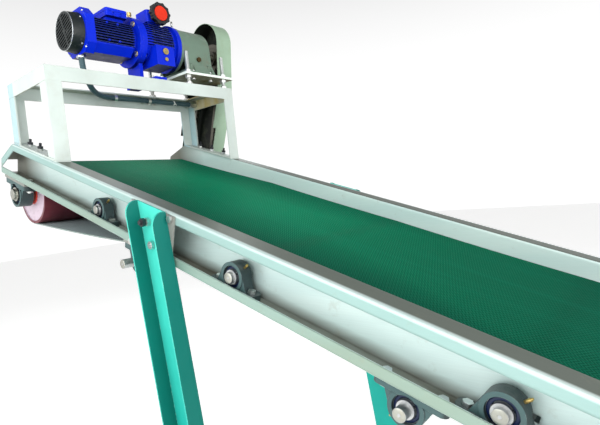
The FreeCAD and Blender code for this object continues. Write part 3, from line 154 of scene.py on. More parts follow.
# ---------------------------------------------------------------- material graphs
class Graph:
    """Shorthand for the nodes of one material."""

    def __init__(self, name, metallic=0.0, coat=0.0, specular=0.5):
        self.material = bpy.data.materials.new(name)
        self.material.use_nodes = True
        self.nodes = self.material.node_tree.nodes
        self.links = self.material.node_tree.links
        self.shader = self.nodes["Principled BSDF"]
        self.shader.inputs["Metallic"].default_value = metallic
        self.shader.inputs["Coat Weight"].default_value = coat
        self.shader.inputs["Coat Roughness"].default_value = 0.12
        self.shader.inputs["Specular IOR Level"].default_value = specular
        self.coordinates = self.nodes.new("ShaderNodeTexCoord")
        self.place = self.coordinates.outputs["Object"]

    def put(self, socket, value):
        if isinstance(value, bpy.types.NodeSocket):
            self.links.new(value, socket)
        elif isinstance(value, (tuple, list)) and len(value) == 3 and socket.type == "RGBA":
            socket.default_value = (*value, 1)
        else:
            socket.default_value = value

    def node(self, kind, **values):
        made = self.nodes.new("ShaderNode" + kind)
        for key, value in values.items():
            self.put(made.inputs[key.replace("_", " ")], value)
        return made

    def mapped(self, scale, turn=(0, 0, 0), place=None):
        made = self.nodes.new("ShaderNodeMapping")
        self.put(made.inputs["Vector"], place or self.place)
        made.inputs["Scale"].default_value = scale
        made.inputs["Rotation"].default_value = turn
        return made.outputs["Vector"]

    def noise(self, scale, detail=3.0, roughness=0.5, place=None):
        made = self.node("TexNoise", Vector=place or self.place, Scale=scale, Detail=detail,
                         Roughness=roughness)
        return made.outputs["Fac"]

    def cells(self, scale):
        made = self.node("TexVoronoi", Vector=self.place, Scale=scale)
        return made.outputs["Distance"]

    def sums(self, operation, first, second=0.0, third=0.0):
        made = self.nodes.new("ShaderNodeMath")
        made.operation = operation
        for socket, value in zip(made.inputs, (first, second, third)):
            self.put(socket, value)
        return made.outputs["Value"]

    def plus(self, first, second):
        return self.sums("ADD", first, second)

    def minus(self, first, second):
        return self.sums("SUBTRACT", first, second)

    def times(self, first, *others):
        for other in others:
            first = self.sums("MULTIPLY", first, other)
        return first

    def spread(self, value, low, high, out_low=0.0, out_high=1.0):
        """Value from low to high, carried over to out_low to out_high and held at the ends."""
        made = self.node("MapRange", Value=value)
        ends = {"From Min": low, "From Max": high, "To Min": out_low, "To Max": out_high}
        for key, number in ends.items():
            made.inputs[key].default_value = number
        return made.outputs["Result"]

    def mix(self, share, first, second):
        made = self.nodes.new("ShaderNodeMix")
        made.data_type = "RGBA"
        self.put(made.inputs[0], share)
        self.put(made.inputs[6], first)
        self.put(made.inputs[7], second)
        return made.outputs[2]

    def split(self, place=None):
        made = self.node("SeparateXYZ", Vector=place or self.place)
        return made.outputs

    def soft_edge(self, radius):
        """Normal rounded over the sharp edges, for the highlight real edges carry."""
        made = self.nodes.new("ShaderNodeBevel")
        made.samples = 4
        made.inputs["Radius"].default_value = radius
        return made.outputs["Normal"]

    def edge(self, radius):
        """1 on a sharp edge, 0 away from it."""
        rounded = self.soft_edge(radius)
        flat = self.nodes.new("ShaderNodeNewGeometry").outputs["Normal"]
        dot = self.nodes.new("ShaderNodeVectorMath")
        dot.operation = "DOT_PRODUCT"
        self.put(dot.inputs[0], rounded)
        self.put(dot.inputs[1], flat)
        return self.spread(dot.outputs["Value"], 0.995, 0.82)

    def normal(self):
        """The surface normal's three parts."""
        return self.split(self.nodes.new("ShaderNodeNewGeometry").outputs["Normal"])

    def facing(self):
        """The Z part of the surface normal: 1 on top of things, -1 under them."""
        return self.normal()["Z"]

    def bump(self, height, distance, strength=1.0, normal=None):
        made = self.node("Bump", Height=height, Distance=distance, Strength=strength)
        if normal is not None:
            self.put(made.inputs["Normal"], normal)
        return made.outputs["Normal"]

    def finish(self, colour, roughness, normal):
        self.put(self.shader.inputs["Base Color"], colour)
        self.put(self.shader.inputs["Roughness"], roughness)
        self.put(self.shader.inputs["Normal"], normal)
        return self.material


def shade(colour, share):
    return tuple(min(1.0, c * share) for c in colour)


def painted(name, colour, roughness=0.35, wear_and_highlight=(0.45, 0.45, 0.44), wear_and_highlight_amount=0.5, dirt=(0.10, 0.09, 0.07),
            grime_and_shade=0.25, cast=0.0, edge=0.0012, coat=0.0, specular=0.3, dust=0.12, under=1.0, marks=None):
    """Enamel over metal: cloudy colour, dust on top, chipped pale edges that on some finishes also stand
    for a painted highlight, painted shade under things when under is below 1, orange peel or casting skin.
    """
    g = Graph(name, coat=coat, specular=specular)
    cloud = g.spread(g.noise(4.0, 4), 0.3, 0.7)
    tone = g.mix(cloud, shade(colour, 0.86), shade(colour, 1.12))
    if marks:
        tone = marks(g, tone)
    smudge = g.spread(g.noise(17.0, 6, 0.65), 0.52, 0.75, 0.0, grime_and_shade)
    tone = g.mix(smudge, tone, shade(dirt, 1.6))
    settled = g.times(g.spread(g.facing(), 0.3, 1.0), g.spread(g.noise(60, 5), 0.4, 0.8, 0, dust))
    tone = g.mix(settled, tone, (0.62, 0.61, 0.57))
    # Painted shade: faces that look down are darkened towards a near-black copy of the colour.
    if under < 1.0:
        tone = g.mix(g.spread(g.facing(), -0.72, -0.92, 0, 1 - under), tone, shade(colour, 0.06))
    # Pale colour on sharp edges: chipped paint, and on the legs and the motor also a painted highlight.
    chips_and_highlight = g.times(g.edge(edge), g.spread(g.noise(90.0, 4, 0.7), 0.5, 0.62, 0, wear_and_highlight_amount))
    tone = g.mix(chips_and_highlight, tone, wear_and_highlight)
    orange_peel = g.noise(900.0, 2)
    normal = g.bump(orange_peel, 0.00008, 0.5, g.soft_edge(edge))
    if cast:
        normal = g.bump(g.noise(240.0, 5, 0.65), cast, 0.8, normal)
    rough = g.spread(g.noise(30.0, 4), 0.3, 0.7, roughness * 0.8, roughness * 1.3)
    return g.finish(tone, rough, normal)


def from_corner(g):
    """X, Y and Z in metres from the head corner."""
    place = g.split()
    return [g.minus(place[axis], start) for axis, start in zip("XYZ", CORNER)]


def from_axis(g, centre):
    """Distance from a line along Y through centre."""
    place = g.split()
    dx = g.minus(place["X"], centre.x)
    dz = g.minus(place["Z"], centre.z)
    return g.sums("SQRT", g.plus(g.times(dx, dx), g.times(dz, dz)))


def within(g, value, centre, reach):
    """1 where value is less than reach away from centre."""
    return g.sums("LESS_THAN", g.sums("ABSOLUTE", g.minus(value, centre)), reach)


def motor_marks(g, tone):
    """Navy fins with pale rubbed crests that are partly a painted highlight, and painted shade, near black,
    in the grooves between them.
    """
    place = g.split()
    fins_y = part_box("motor_frame")[1].y - 0.092
    finned = g.times(within(g, place["Z"], DRIVE.z + 0.0048, 0.0465), within(g, place["Y"], fins_y, 0.080))
    groove, crest = 0.0735, 0.0820
    # Painted shade: the deeper a point lies between the fins, the darker it is made.
    height = g.spread(from_axis(g, DRIVE), groove, crest)
    navy = g.mix(height, (0.0003, 0.0012, 0.016), (0.004, 0.014, 0.17))
    # Pale crests: rubbed paint and a painted highlight along the fin edges.
    wear_and_highlight = g.times(g.edge(0.0009), g.spread(g.noise(40, 4), 0.4, 0.6, 0.1, 0.6))
    return g.mix(finned, tone, g.mix(wear_and_highlight, navy, (0.20, 0.28, 0.42)))


def variator_marks(g, tone):
    """The variator's grooves carry painted shade, and its crests are rubbed pale, partly as a painted
    highlight.
    """
    place = g.split()
    low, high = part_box("variator_housing")
    fins_y = middle_of("control_box").y
    finned = g.times(within(g, place["Z"], DRIVE.z + 0.032, 0.056), within(g, place["Y"], fins_y, 0.052))
    crest = (high.x - low.x) / 2
    # Painted shade: the grooves are darkened by their depth below the crests.
    shallow = g.spread(from_axis(g, DRIVE), crest - 0.036, crest - 0.024)
    blue = g.mix(shallow, (0.0008, 0.005, 0.10), (0.004, 0.026, 0.50))
    # Pale crests: rubbed paint and a painted highlight along the fin edges.
    wear_and_highlight = g.times(g.edge(0.0011), g.spread(g.noise(40, 4), 0.35, 0.6, 0.2, 0.9))
    return g.mix(finned, tone, g.mix(wear_and_highlight, blue, (0.30, 0.38, 0.60)))


def beam_marks(g, tone):
    """Rusty streaks and painted shade on the far beam's near face, a bluish painted shade on the near faces
    of the head-side posts, and undersides painted darker brown as shade.
    """
    x, y, z = from_corner(g)
    face = g.normal()
    streak = g.noise(22.0, 5, 0.65, g.mapped((1, 1, 0.25)))
    far_beam = g.times(g.spread(y, 0.700, 0.735), g.spread(x, 0.040, 0.090), g.spread(z, 0.150, 0.165))
    # Far beam's near face: rusty streaks and painted shade in one tan-brown mark.
    rust_and_shade = g.times(far_beam, g.spread(face["Y"], -0.4, -0.8), g.spread(streak, 0.25, 0.6, 0.45, 1.0))
    tone = g.mix(rust_and_shade, tone, (0.46, 0.35, 0.14))
    post_end = POST_SPANS[0][1] * MM
    # Painted shade: the near faces of the head-side posts are tinted a darker blue-grey.
    cool_painted_shade = g.times(g.spread(face["Y"], -0.5, -0.9), g.spread(x, post_end, post_end - 0.006), 0.8)
    tone = g.mix(cool_painted_shade, tone, (0.37, 0.55, 0.60))
    # Painted shade: faces that look down are mixed towards dark brown.
    return g.mix(g.spread(face["Z"], -0.5, -0.9, 0, 0.55), tone, (0.24, 0.20, 0.12))


def guard_marks(g, tone):
    """Painted shade inside the guard and on its back plate, and low on the near plate a dark painted shade
    with oil and pale streaks of painted reflection.
    """
    x, y, z = from_corner(g)
    face = g.normal()
    nearward = g.spread(face["Y"], -0.5, -0.9)
    # A wall faces inward when it faces the guard's leaning middle line, or down from its round top.
    middle = g.spread(z, -0.10, 0.44, -0.005, 0.172)
    top_centre = 0.452
    across = g.times(g.minus(x, middle), face["X"])
    above = g.times(g.sums("MAXIMUM", g.minus(z, top_centre), 0.0), face["Z"])
    inward = g.spread(g.plus(across, above), -0.001, -0.006)
    back_plate = g.times(g.spread(y, 0.880, 0.892), nearward)
    # Painted shade: walls that face into the guard, and the back plate's near face, are made near black.
    tone = g.mix(g.sums("MAXIMUM", inward, back_plate), tone, (0.012, 0.015, 0.012))
    # Low on the near plate: painted shade and oil, streaked with pale painted reflections.
    streak = g.noise(16.0, 5, 0.7, g.mapped((1, 1, 0.12), (0, 0.35, 0)))
    oil_shade_and_glint = g.mix(g.spread(streak, 0.52, 0.66), (0.020, 0.028, 0.024), (0.46, 0.58, 0.52))
    near_plate = g.times(nearward, g.spread(z, 0.262, 0.246), g.sums("LESS_THAN", y, 0.83))
    return g.mix(near_plate, tone, oil_shade_and_glint)


def casting_marks(g, tone):
    """Machined faces of the housings show paler than their cast sides."""
    machined = g.spread(g.sums("ABSOLUTE", g.normal()["Y"]), 0.8, 0.97, 0, 0.9)
    return g.mix(machined, tone, (0.060, 0.115, 0.115))


def leg_marks(g, tone):
    """Painted shade on the faces of the legs that look towards +X, and painted light on the upper web."""
    face = g.normal()
    # Painted shade: faces turned towards +X are darkened.
    tone = g.mix(g.spread(face["X"], 0.5, 0.9, 0, 0.85), tone, (0.0022, 0.115, 0.092))
    # Painted light: the web's upper part is made paler.
    web = g.spread(g.sums("ABSOLUTE", face["Y"]), 0.5, 0.9)
    upper = g.times(web, g.spread(g.split()["Z"], 0.55, 1.2), 0.8)
    return g.mix(upper, tone, (0.09, 0.72, 0.58))


def plug_marks(g, tone):
    """The plugs of the reducer are blackened with oil."""
    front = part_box("reducer_housing")[0].y
    behind = g.spread(g.split()["Y"], front + 0.010, front + 0.014)
    return g.mix(behind, tone, (0.060, 0.040, 0.020))


def plate_marks(g, tone):
    """Brown underside and bright cut edges on the motor plate."""
    upright = g.sums("ABSOLUTE", g.facing())
    tone = g.mix(g.spread(upright, 0.6, 0.3), tone, (0.78, 0.86, 0.80))
    streak = g.spread(g.noise(20.0, 5, 0.65), 0.3, 0.7, 0.6, 1.0)
    return g.mix(g.times(g.spread(g.facing(), -0.5, -0.9), streak), tone, (0.115, 0.085, 0.022))


def bare_metal(name, colour, roughness=0.3, stretch=(1, 1, 1), tint=None, tinted=0.3,
               stain=(0.30, 0.25, 0.18), stained=0.12, marks=None):
    """Bare metal with its grain drawn out along one way, stains and fine scratches."""
    g = Graph(name, metallic=1.0)
    grain = g.noise(700.0, 4, 0.6, g.mapped(stretch))
    cloud = g.spread(g.noise(6.0, 4), 0.35, 0.7)
    tone = g.mix(cloud, colour, shade(colour, 0.86))
    if tint:
        tone = g.mix(g.spread(g.noise(2.3, 2), 0.4, 0.66, 0, tinted), tone, tint)
    if marks:
        tone = marks(g, tone)
    tone = g.mix(g.spread(grain, 0.3, 0.7, 0, 0.18), tone, shade(colour, 0.62))
    tone = g.mix(g.spread(g.noise(26.0, 6, 0.7), 0.56, 0.74, 0, stained), tone, stain)
    rough = g.spread(grain, 0.25, 0.75, roughness * 0.75, roughness * 1.35)
    rough = g.plus(rough, g.spread(g.noise(14.0, 5), 0.5, 0.8, 0, 0.12))
    return g.finish(tone, rough, g.bump(grain, 0.00006, 0.6, g.soft_edge(0.0008)))


def moulded(name, colour, roughness=0.4, coat=0.0, marred=0.25):
    """Plastic or rubber with a fine moulded grain and finger marks."""
    g = Graph(name, coat=coat, specular=0.35)
    tone = g.mix(g.spread(g.noise(9.0, 4), 0.35, 0.7), colour, shade(colour, 1.25))
    tone = g.mix(g.spread(g.noise(50.0, 5, 0.7), 0.58, 0.8, 0, marred), tone, (0.35, 0.34, 0.32))
    rough = g.spread(g.noise(22.0, 4), 0.3, 0.7, roughness * 0.8, roughness * 1.35)
    return g.finish(tone, rough, g.bump(g.cells(1400.0), 0.00006, 0.5, g.soft_edge(0.001)))


def rail_steel():
    """Satin stainless sheet with grain along the rail; a painted reflection darkens the top short of the
    outer bend, painted shade darkens the lip, and painted shade with brown dirt lies low in the channel and
    at the nose.
    """
    g = Graph("stainless", metallic=0.30, specular=0.4)
    lean = (0, -INCLINE, 0)
    grain = g.noise(600.0, 4, 0.6, g.mapped((0.02, 1, 1), lean))
    streak = g.noise(9.0, 4, 0.6, g.mapped((0.12, 1, 1), lean))
    tone = g.mix(g.spread(streak, 0.35, 0.68), (0.58, 0.73, 0.71), (0.68, 0.80, 0.77))
    x, y, z = from_corner(g)
    # height is square to the belt from the rail's top, and depth runs in from its outer face.
    height = g.plus(g.times(x, math.sin(INCLINE)), g.times(z, math.cos(INCLINE)))
    depth = g.sums("MINIMUM", y, g.minus(WIDTH, y))
    # Painted reflection: the top is darkened to taupe, a band along the outer bend left pale as a painted
    # highlight.
    top = g.sums("GREATER_THAN", height, -0.0012)
    painted_dark_top = g.times(top, g.spread(depth, 0.0060, 0.0125, 0.0, 0.97))
    tailward = g.spread(g.plus(x, g.times(streak, 0.5)), 0.9, 2.6)
    taupe = g.mix(tailward, (0.068, 0.088, 0.062), (0.105, 0.125, 0.100))
    tone = g.mix(painted_dark_top, tone, taupe)
    # Painted shade: the lip's face is a darker green-grey than the web, below the pale band at the bend.
    lip = g.times(g.sums("LESS_THAN", depth, 0.0012), g.spread(height, -0.0035, -0.0075))
    tone = g.mix(lip, tone, g.mix(streak, (0.27, 0.43, 0.40), (0.35, 0.52, 0.49)))
    foot = g.times(lip, g.sums("LESS_THAN", height, -0.09))
    tone = g.mix(g.times(foot, g.spread(streak, 0.3, 0.7, 0.5, 1.0)), tone, (0.27, 0.36, 0.29))
    # Painted shade with brown dirt, low in the channel and towards the nose.
    inside = g.times(g.spread(depth, 0.004, 0.010), g.sums("LESS_THAN", height, -0.0025))
    ragged = g.plus(height, g.times(g.minus(streak, 0.5), 0.035))
    low = g.spread(ragged, -0.130, -0.100, 0.9, 0.0)
    nose = g.spread(x, -0.05, 0.14, 0.85, 0.0)
    grime_and_shade = g.times(inside, g.sums("MAXIMUM", low, nose))
    tone = g.mix(grime_and_shade, tone, (0.080, 0.056, 0.026))
    tone = g.mix(g.spread(g.noise(26.0, 6, 0.7), 0.60, 0.78, 0, 0.3), tone, (0.30, 0.27, 0.18))
    tone = g.mix(g.spread(grain, 0.3, 0.7, 0, 0.10), tone, (0.30, 0.36, 0.34))
    rough = g.spread(grain, 0.25, 0.75, 0.34, 0.50)
    rough = g.plus(rough, g.times(grime_and_shade, 0.25))
    return g.finish(tone, rough, g.bump(grain, 0.00005, 0.5, g.soft_edge(0.007)))


def belt_cover():
    """Green herringbone cover with painted shade towards both edges, towards the tail and in the grooves,
    and faint paler lanes.
    """
    g = Graph("belt_cover", specular=0.03)
    lane_width, rib_pitch = 0.0085, 0.0075
    run = g.split(g.coordinates.outputs["UV"])
    lane = g.sums("PINGPONG", run["Y"], lane_width)
    slant = g.sums("MULTIPLY_ADD", lane, 0.9, run["X"])
    rib = g.sums("SINE", g.times(slant, 2 * math.pi / rib_pitch))
    ridge = g.spread(rib, -0.7, 0.7)
    cloud = g.spread(g.noise(1.6, 3), 0.3, 0.7)
    tone = g.mix(cloud, (0.0030, 0.250, 0.118), (0.0040, 0.310, 0.150))
    place = g.split()
    # Painted shade: darker towards the near edge, the far edge and the tail.
    near = g.spread(g.plus(place["Y"], g.times(cloud, 0.05)), -0.36, 0.06, 0.95, 0.0)
    far = g.spread(place["Y"], 0.12, 0.35, 0.0, 0.45)
    tail = g.spread(place["X"], -0.40, 0.55, 0.0, 0.72)
    dark = g.sums("MAXIMUM", g.sums("MAXIMUM", near, far), tail)
    tone = g.mix(dark, tone, (0.0012, 0.036, 0.029))
    # Painted shade in the grooves of the herringbone.
    tone = g.mix(g.spread(ridge, 0, 1, 0.46, 0.0), tone, (0.0008, 0.020, 0.015))
    lanes = g.noise(9.0, 4, 0.6, g.mapped((0.05, 1, 1), place=g.coordinates.outputs["UV"]))
    tone = g.mix(g.spread(lanes, 0.5, 0.72, 0, 0.12), tone, (0.010, 0.33, 0.20))
    tone = g.mix(g.spread(g.noise(70.0, 5, 0.7), 0.6, 0.8, 0, 0.25), tone, (0.02, 0.10, 0.07))
    rough = g.spread(ridge, 0, 1, 0.80, 0.62)
    return g.finish(tone, rough, g.bump(ridge, 0.0006, 0.8))


def belt_fabric():
    """Woven grey carcass on the running side."""
    g = Graph("belt_fabric", specular=0.2)
    run = g.split(g.coordinates.outputs["UV"])
    thread = 2 * math.pi / 0.0018
    warp = g.sums("SINE", g.times(run["X"], thread))
    weft = g.sums("SINE", g.times(run["Y"], thread))
    weave = g.spread(g.times(warp, weft), -1, 1)
    tone = g.mix(weave, (0.30, 0.36, 0.37), (0.46, 0.54, 0.55))
    tone = g.mix(g.spread(g.noise(7.0, 5), 0.5, 0.75, 0, 0.4), tone, (0.20, 0.24, 0.24))
    return g.finish(tone, 0.85, g.bump(weave, 0.0003, 0.7))


def belt_edge():
    """Cut edge: pale fabric plies with a thread of green cover at the outside."""
    g = Graph("belt_edge", specular=0.25)
    tone = g.mix(g.spread(g.noise(300.0, 4), 0.35, 0.65), (0.30, 0.34, 0.32), (0.50, 0.56, 0.52))
    tone = g.mix(g.spread(g.noise(40.0, 4), 0.5, 0.7, 0, 0.5), tone, (0.05, 0.34, 0.24))
    return g.finish(tone, 0.75, g.bump(g.noise(800.0, 3), 0.0003, 0.8))


def drum_paint():
    """Maroon shell, pale pink disc and bright red hub, set by the distance from the axis."""
    g = Graph("drum_paint", coat=0.2)
    head_disc, tail_disc, hub_reach = 0.108, 0.070, 0.0425
    at_tail = g.sums("GREATER_THAN", g.split()["X"], 0.0)
    to_head = from_axis(g, middle_of("head_drum"))
    to_tail = from_axis(g, middle_of("tail_drum"))
    away = g.plus(g.times(to_tail, at_tail), g.times(to_head, g.minus(1.0, at_tail)))
    disc = g.plus(g.times(at_tail, tail_disc - head_disc), head_disc)
    shell = g.sums("GREATER_THAN", away, disc)
    hub = g.sums("LESS_THAN", away, hub_reach)
    cloud = g.spread(g.noise(7.0, 5), 0.3, 0.7)
    tone = g.mix(cloud, (0.50, 0.38, 0.45), (0.60, 0.49, 0.57))
    tone = g.mix(hub, tone, (0.70, 0.035, 0.012))
    tone = g.mix(shell, tone, g.mix(cloud, (0.085, 0.010, 0.022), (0.17, 0.022, 0.034)))
    tone = g.mix(g.spread(g.noise(55.0, 6, 0.7), 0.55, 0.75, 0, 0.35), tone, (0.16, 0.09, 0.07))
    rough = g.spread(g.noise(30.0, 4), 0.3, 0.7, 0.34, 0.6)
    return g.finish(tone, rough, g.bump(g.noise(300.0, 5, 0.6), 0.00025, 0.7, g.soft_edge(0.0015)))


def glass():
    g = Graph("sight_glass", coat=0.3)
    g.shader.inputs["Transmission Weight"].default_value = 0.6
    tone = g.mix(g.spread(g.noise(120.0, 3), 0.4, 0.6), (0.78, 0.66, 0.30), (0.62, 0.44, 0.14))
    return g.finish(tone, 0.08, g.bump(g.noise(60.0, 2), 0.0002, 0.3))


def floor_paint():
    g = Graph("floor", specular=0.2)
    tone = g.mix(g.spread(g.noise(1.2, 3), 0.3, 0.7), (0.90, 0.90, 0.89), (0.93, 0.93, 0.92))
    g.put(g.shader.inputs["Emission Color"], (1.0, 1.0, 1.0))
    g.put(g.shader.inputs["Emission Strength"], 0.50)
    return g.finish(tone, 0.7, g.bump(g.noise(40.0, 4), 0.0004, 0.2))


def make_finishes():
    """One material per slot of the record."""
    # The motor's pale blue edge colour is partly a painted highlight; under=0.12 paints shade on its
    # undersides.
    blue = dict(colour=(0.0010, 0.0190, 0.56), roughness=0.34, wear_and_highlight=(0.25, 0.32, 0.52), wear_and_highlight_amount=0.5,
                grime_and_shade=0.10, dirt=(0.01, 0.012, 0.05), cast=0.0003, edge=0.0014, coat=0.05, specular=0.12,
                dust=0.04, under=0.12)
    oil = dict(stain=(0.22, 0.13, 0.04), stained=0.45)
    return {
        "belt_green": belt_cover(),
        "stainless": rail_steel(),
        # The pale teal on the legs' edges is a painted highlight along them as well as chipped paint.
        "leg_paint": painted("leg_paint", (0.010, 0.40, 0.335), 0.42, wear_and_highlight=(0.35, 0.80, 0.70), wear_and_highlight_amount=0.8,
                             grime_and_shade=0.10, dirt=(0.01, 0.13, 0.11), edge=0.0018, specular=0.2, dust=0.05,
                             marks=leg_marks),
        "bridge_paint": painted("bridge_paint", (0.545, 0.61, 0.575), 0.40, wear_and_highlight=(0.50, 0.46, 0.38),
                                wear_and_highlight_amount=0.45, dirt=(0.22, 0.19, 0.13), grime_and_shade=0.16, dust=0.0, marks=beam_marks),
        "drum_red": drum_paint(),
        "roller_steel": bare_metal("roller_steel", (0.52, 0.53, 0.53), 0.38, (1, 0.05, 1), stained=0.3),
        "shaft_steel": bare_metal("shaft_steel", (0.44, 0.44, 0.39), 0.32, (1, 0.3, 1),
                                  stain=(0.34, 0.24, 0.09), stained=0.4),
        "casting_dark": painted("casting_dark", (0.030, 0.048, 0.050), 0.44, wear_and_highlight=(0.24, 0.27, 0.27),
                                wear_and_highlight_amount=0.7, grime_and_shade=0.15, cast=0.0006, edge=0.0022, dust=0.15,
                                marks=casting_marks),
        "bearing_steel": bare_metal("bearing_steel", (0.30, 0.33, 0.34), 0.30),
        "oily_brass": bare_metal("oily_brass", (0.62, 0.45, 0.16), 0.30, marks=plug_marks, **oil),
        "brass": bare_metal("brass", (0.62, 0.45, 0.16), 0.30, **oil),
        "zinc": bare_metal("zinc", (0.66, 0.69, 0.70), 0.36, tint=(0.62, 0.58, 0.42), tinted=0.35,
                           stained=0.25),
        "bracket_grey": painted("bracket_grey", (0.26, 0.27, 0.245), 0.50, wear_and_highlight_amount=0.4, grime_and_shade=0.45,
                                dirt=(0.10, 0.07, 0.05)),
        "motor_blue": painted("motor_blue", **blue),
        "motor_frame_blue": painted("motor_frame_blue", marks=motor_marks, **blue),
        "variator_blue": painted("variator_blue", marks=variator_marks, **blue),
        "fan_black": moulded("fan_black", (0.010, 0.014, 0.014), 0.42),
        "copper_core": bare_metal("copper_core", (0.40, 0.26, 0.18), 0.45, (1, 30, 1)),
        "wheel_black": moulded("wheel_black", (0.008, 0.008, 0.010), 0.28, coat=0.15),
        "wheel_orange": moulded("wheel_orange", (0.54, 0.017, 0.0004), 0.55, marred=0.02),
        "glass_clear": glass(),
        "reducer_green": painted("reducer_green", (0.150, 0.225, 0.170), 0.50, wear_and_highlight=(0.34, 0.38, 0.33),
                                 wear_and_highlight_amount=0.5, dirt=(0.10, 0.085, 0.055), grime_and_shade=0.55, cast=0.0008, edge=0.003,
                                 dust=0.35),
        "gear_steel": bare_metal("gear_steel", (0.48, 0.48, 0.48), 0.30, stained=0.2),
        "chain_steel": bare_metal("chain_steel", (0.20, 0.19, 0.16), 0.40, stain=(0.06, 0.045, 0.03),
                                  stained=0.5),
        "guard_paint": painted("guard_paint", (0.30, 0.42, 0.305), 0.46, wear_and_highlight_amount=0.4, grime_and_shade=0.30,
                               dirt=(0.13, 0.14, 0.08), dust=0.1, marks=guard_marks),
        "plate_paint": painted("plate_paint", (0.42, 0.47, 0.42), 0.46, wear_and_highlight_amount=0.4, grime_and_shade=0.3,
                               marks=plate_marks),
        "conduit_grey": moulded("conduit_grey", (0.036, 0.075, 0.088), 0.50),
    }


OWN_FINISH = {"motor_frame": "motor_frame_blue", "variator_housing": "variator_blue",
              "motor_plate": "plate_paint", "oil_fittings": "oily_brass"}


def dress_nodes(finishes):
    """Every CAD node takes its own finish, or else the finish of its slot."""
    slots = {part["node"]: part["material_slot"] for part in frame["record"]["subparts"]}
    for name, node in NODES.items():
        finish = finishes[OWN_FINISH.get(name, slots[name])]
        for k in range(len(node.data.materials)):
            node.data.materials[k] = finish


# ---------------------------------------------------------------- floor
def make_floor():
    mesh = bpy.data.meshes.new("floor")
    reach = 14.0
    corners = [(-reach, -reach), (reach, -reach), (reach, reach), (-reach, reach)]
    mesh.from_pydata([(x, y, FLOOR_Z) for x, y in corners], [], [(0, 1, 2, 3)])
    mesh.materials.append(floor_paint())
    floor = bpy.data.objects.new("floor", mesh)
    bpy.context.scene.collection.objects.link(floor)


# ---------------------------------------------------------------- pieces
def piece(name, mesh, body, materials, smooth_angle=None):
    """A new visible piece that rides on a body and takes the materials it is given."""
    made = bpy.data.objects.new(name, mesh)
    bpy.context.scene.collection.objects.link(made)
    for material in materials:
        mesh.materials.append(material)
    if smooth_angle is not None:
        mesh.polygons.foreach_set("use_smooth", [True] * len(mesh.polygons))
        mesh.set_sharp_from_angle(angle=math.radians(smooth_angle))
    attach(made, body)
    return made


def mesh_of(name, bm):
    bmesh.ops.recalc_face_normals(bm, faces=bm.faces)
    mesh = bpy.data.meshes.new(name)
    bm.to_mesh(mesh)
    bm.free()
    return mesh


def facing_matrix(place, direction):
    """Matrix whose Z runs along direction from place."""
    turn = Vector(direction).to_track_quat("Z", "Y").to_matrix().to_4x4()
    return Matrix.Translation(Vector(place)) @ turn


def polar(radius, turn, height):
    """Point at a radius and an angle round Z."""
    return Vector((radius * math.cos(turn), radius * math.sin(turn), height))


def add_ring(bm, matrix, radius, height, segments):
    turns = [2 * math.pi * k / segments for k in range(segments)]
    return [bm.verts.new(matrix @ polar(radius, turn, height)) for turn in turns]


def skin(bm, rings, capped=True):
    """Walls from each ring to the next, and a cap on both ends."""
    for one, two in zip(rings, rings[1:]):
        for k in range(len(one)):
            j = (k + 1) % len(one)
            bm.faces.new((one[k], one[j], two[j], two[k]))
    if capped:
        bm.faces.new(rings[0][::-1])
        bm.faces.new(rings[-1])


def add_lathe(bm, outline, matrix, segments=32, closed=True):
    """A turned shape: outline is (radius, height) pairs along the matrix's Z."""
    rings = []
    for radius, height in outline:
        if radius < 1e-6:
            rings.append([bm.verts.new(matrix @ Vector((0, 0, height)))])
        else:
            rings.append(add_ring(bm, matrix, radius, height, segments))
    pairs = list(zip(rings, rings[1:]))
    if closed:
        pairs.append((rings[-1], rings[0]))
    for one, two in pairs:
        for k in range(segments):
            j = (k + 1) % segments
            corners = [one[k % len(one)], one[j % len(one)], two[j % len(two)], two[k % len(two)]]
            distinct = list(dict.fromkeys(corners))
            if len(distinct) > 2:
                bm.faces.new(distinct)


# ---------------------------------------------------------------- belt
GAP = 0.0003
THICK = 0.003
COVER = 0.0009
TURN_STEP, RUN_STEP = 0.07, 0.04
LONG_RUN, SHORT_SAG, LONG_SAG = 0.7, 0.0022, 0.004
BELT_LOOP = [("head_drum", 0.118), ("carrying_roller_1", 0.038), ("carrying_roller_2", 0.038),
             ("carrying_roller_3", 0.038), ("carrying_roller_4", 0.038), ("tail_drum", 0.080),
             ("return_roller_3", -0.030), ("return_roller_2", -0.030), ("return_roller_1", -0.030)]


def run_normal(first, second):
    """Outward unit normal of the straight run between two rollers (x, z, signed radius)."""
    along = Vector((second[0] - first[0], second[1] - first[1]))
    span = along.length
    along /= span
    lean = (first[2] - second[2]) / span
    return Vector((lean * along.x - math.sqrt(1 - lean * lean) * along.y,
                   lean * along.y + math.sqrt(1 - lean * lean) * along.x))


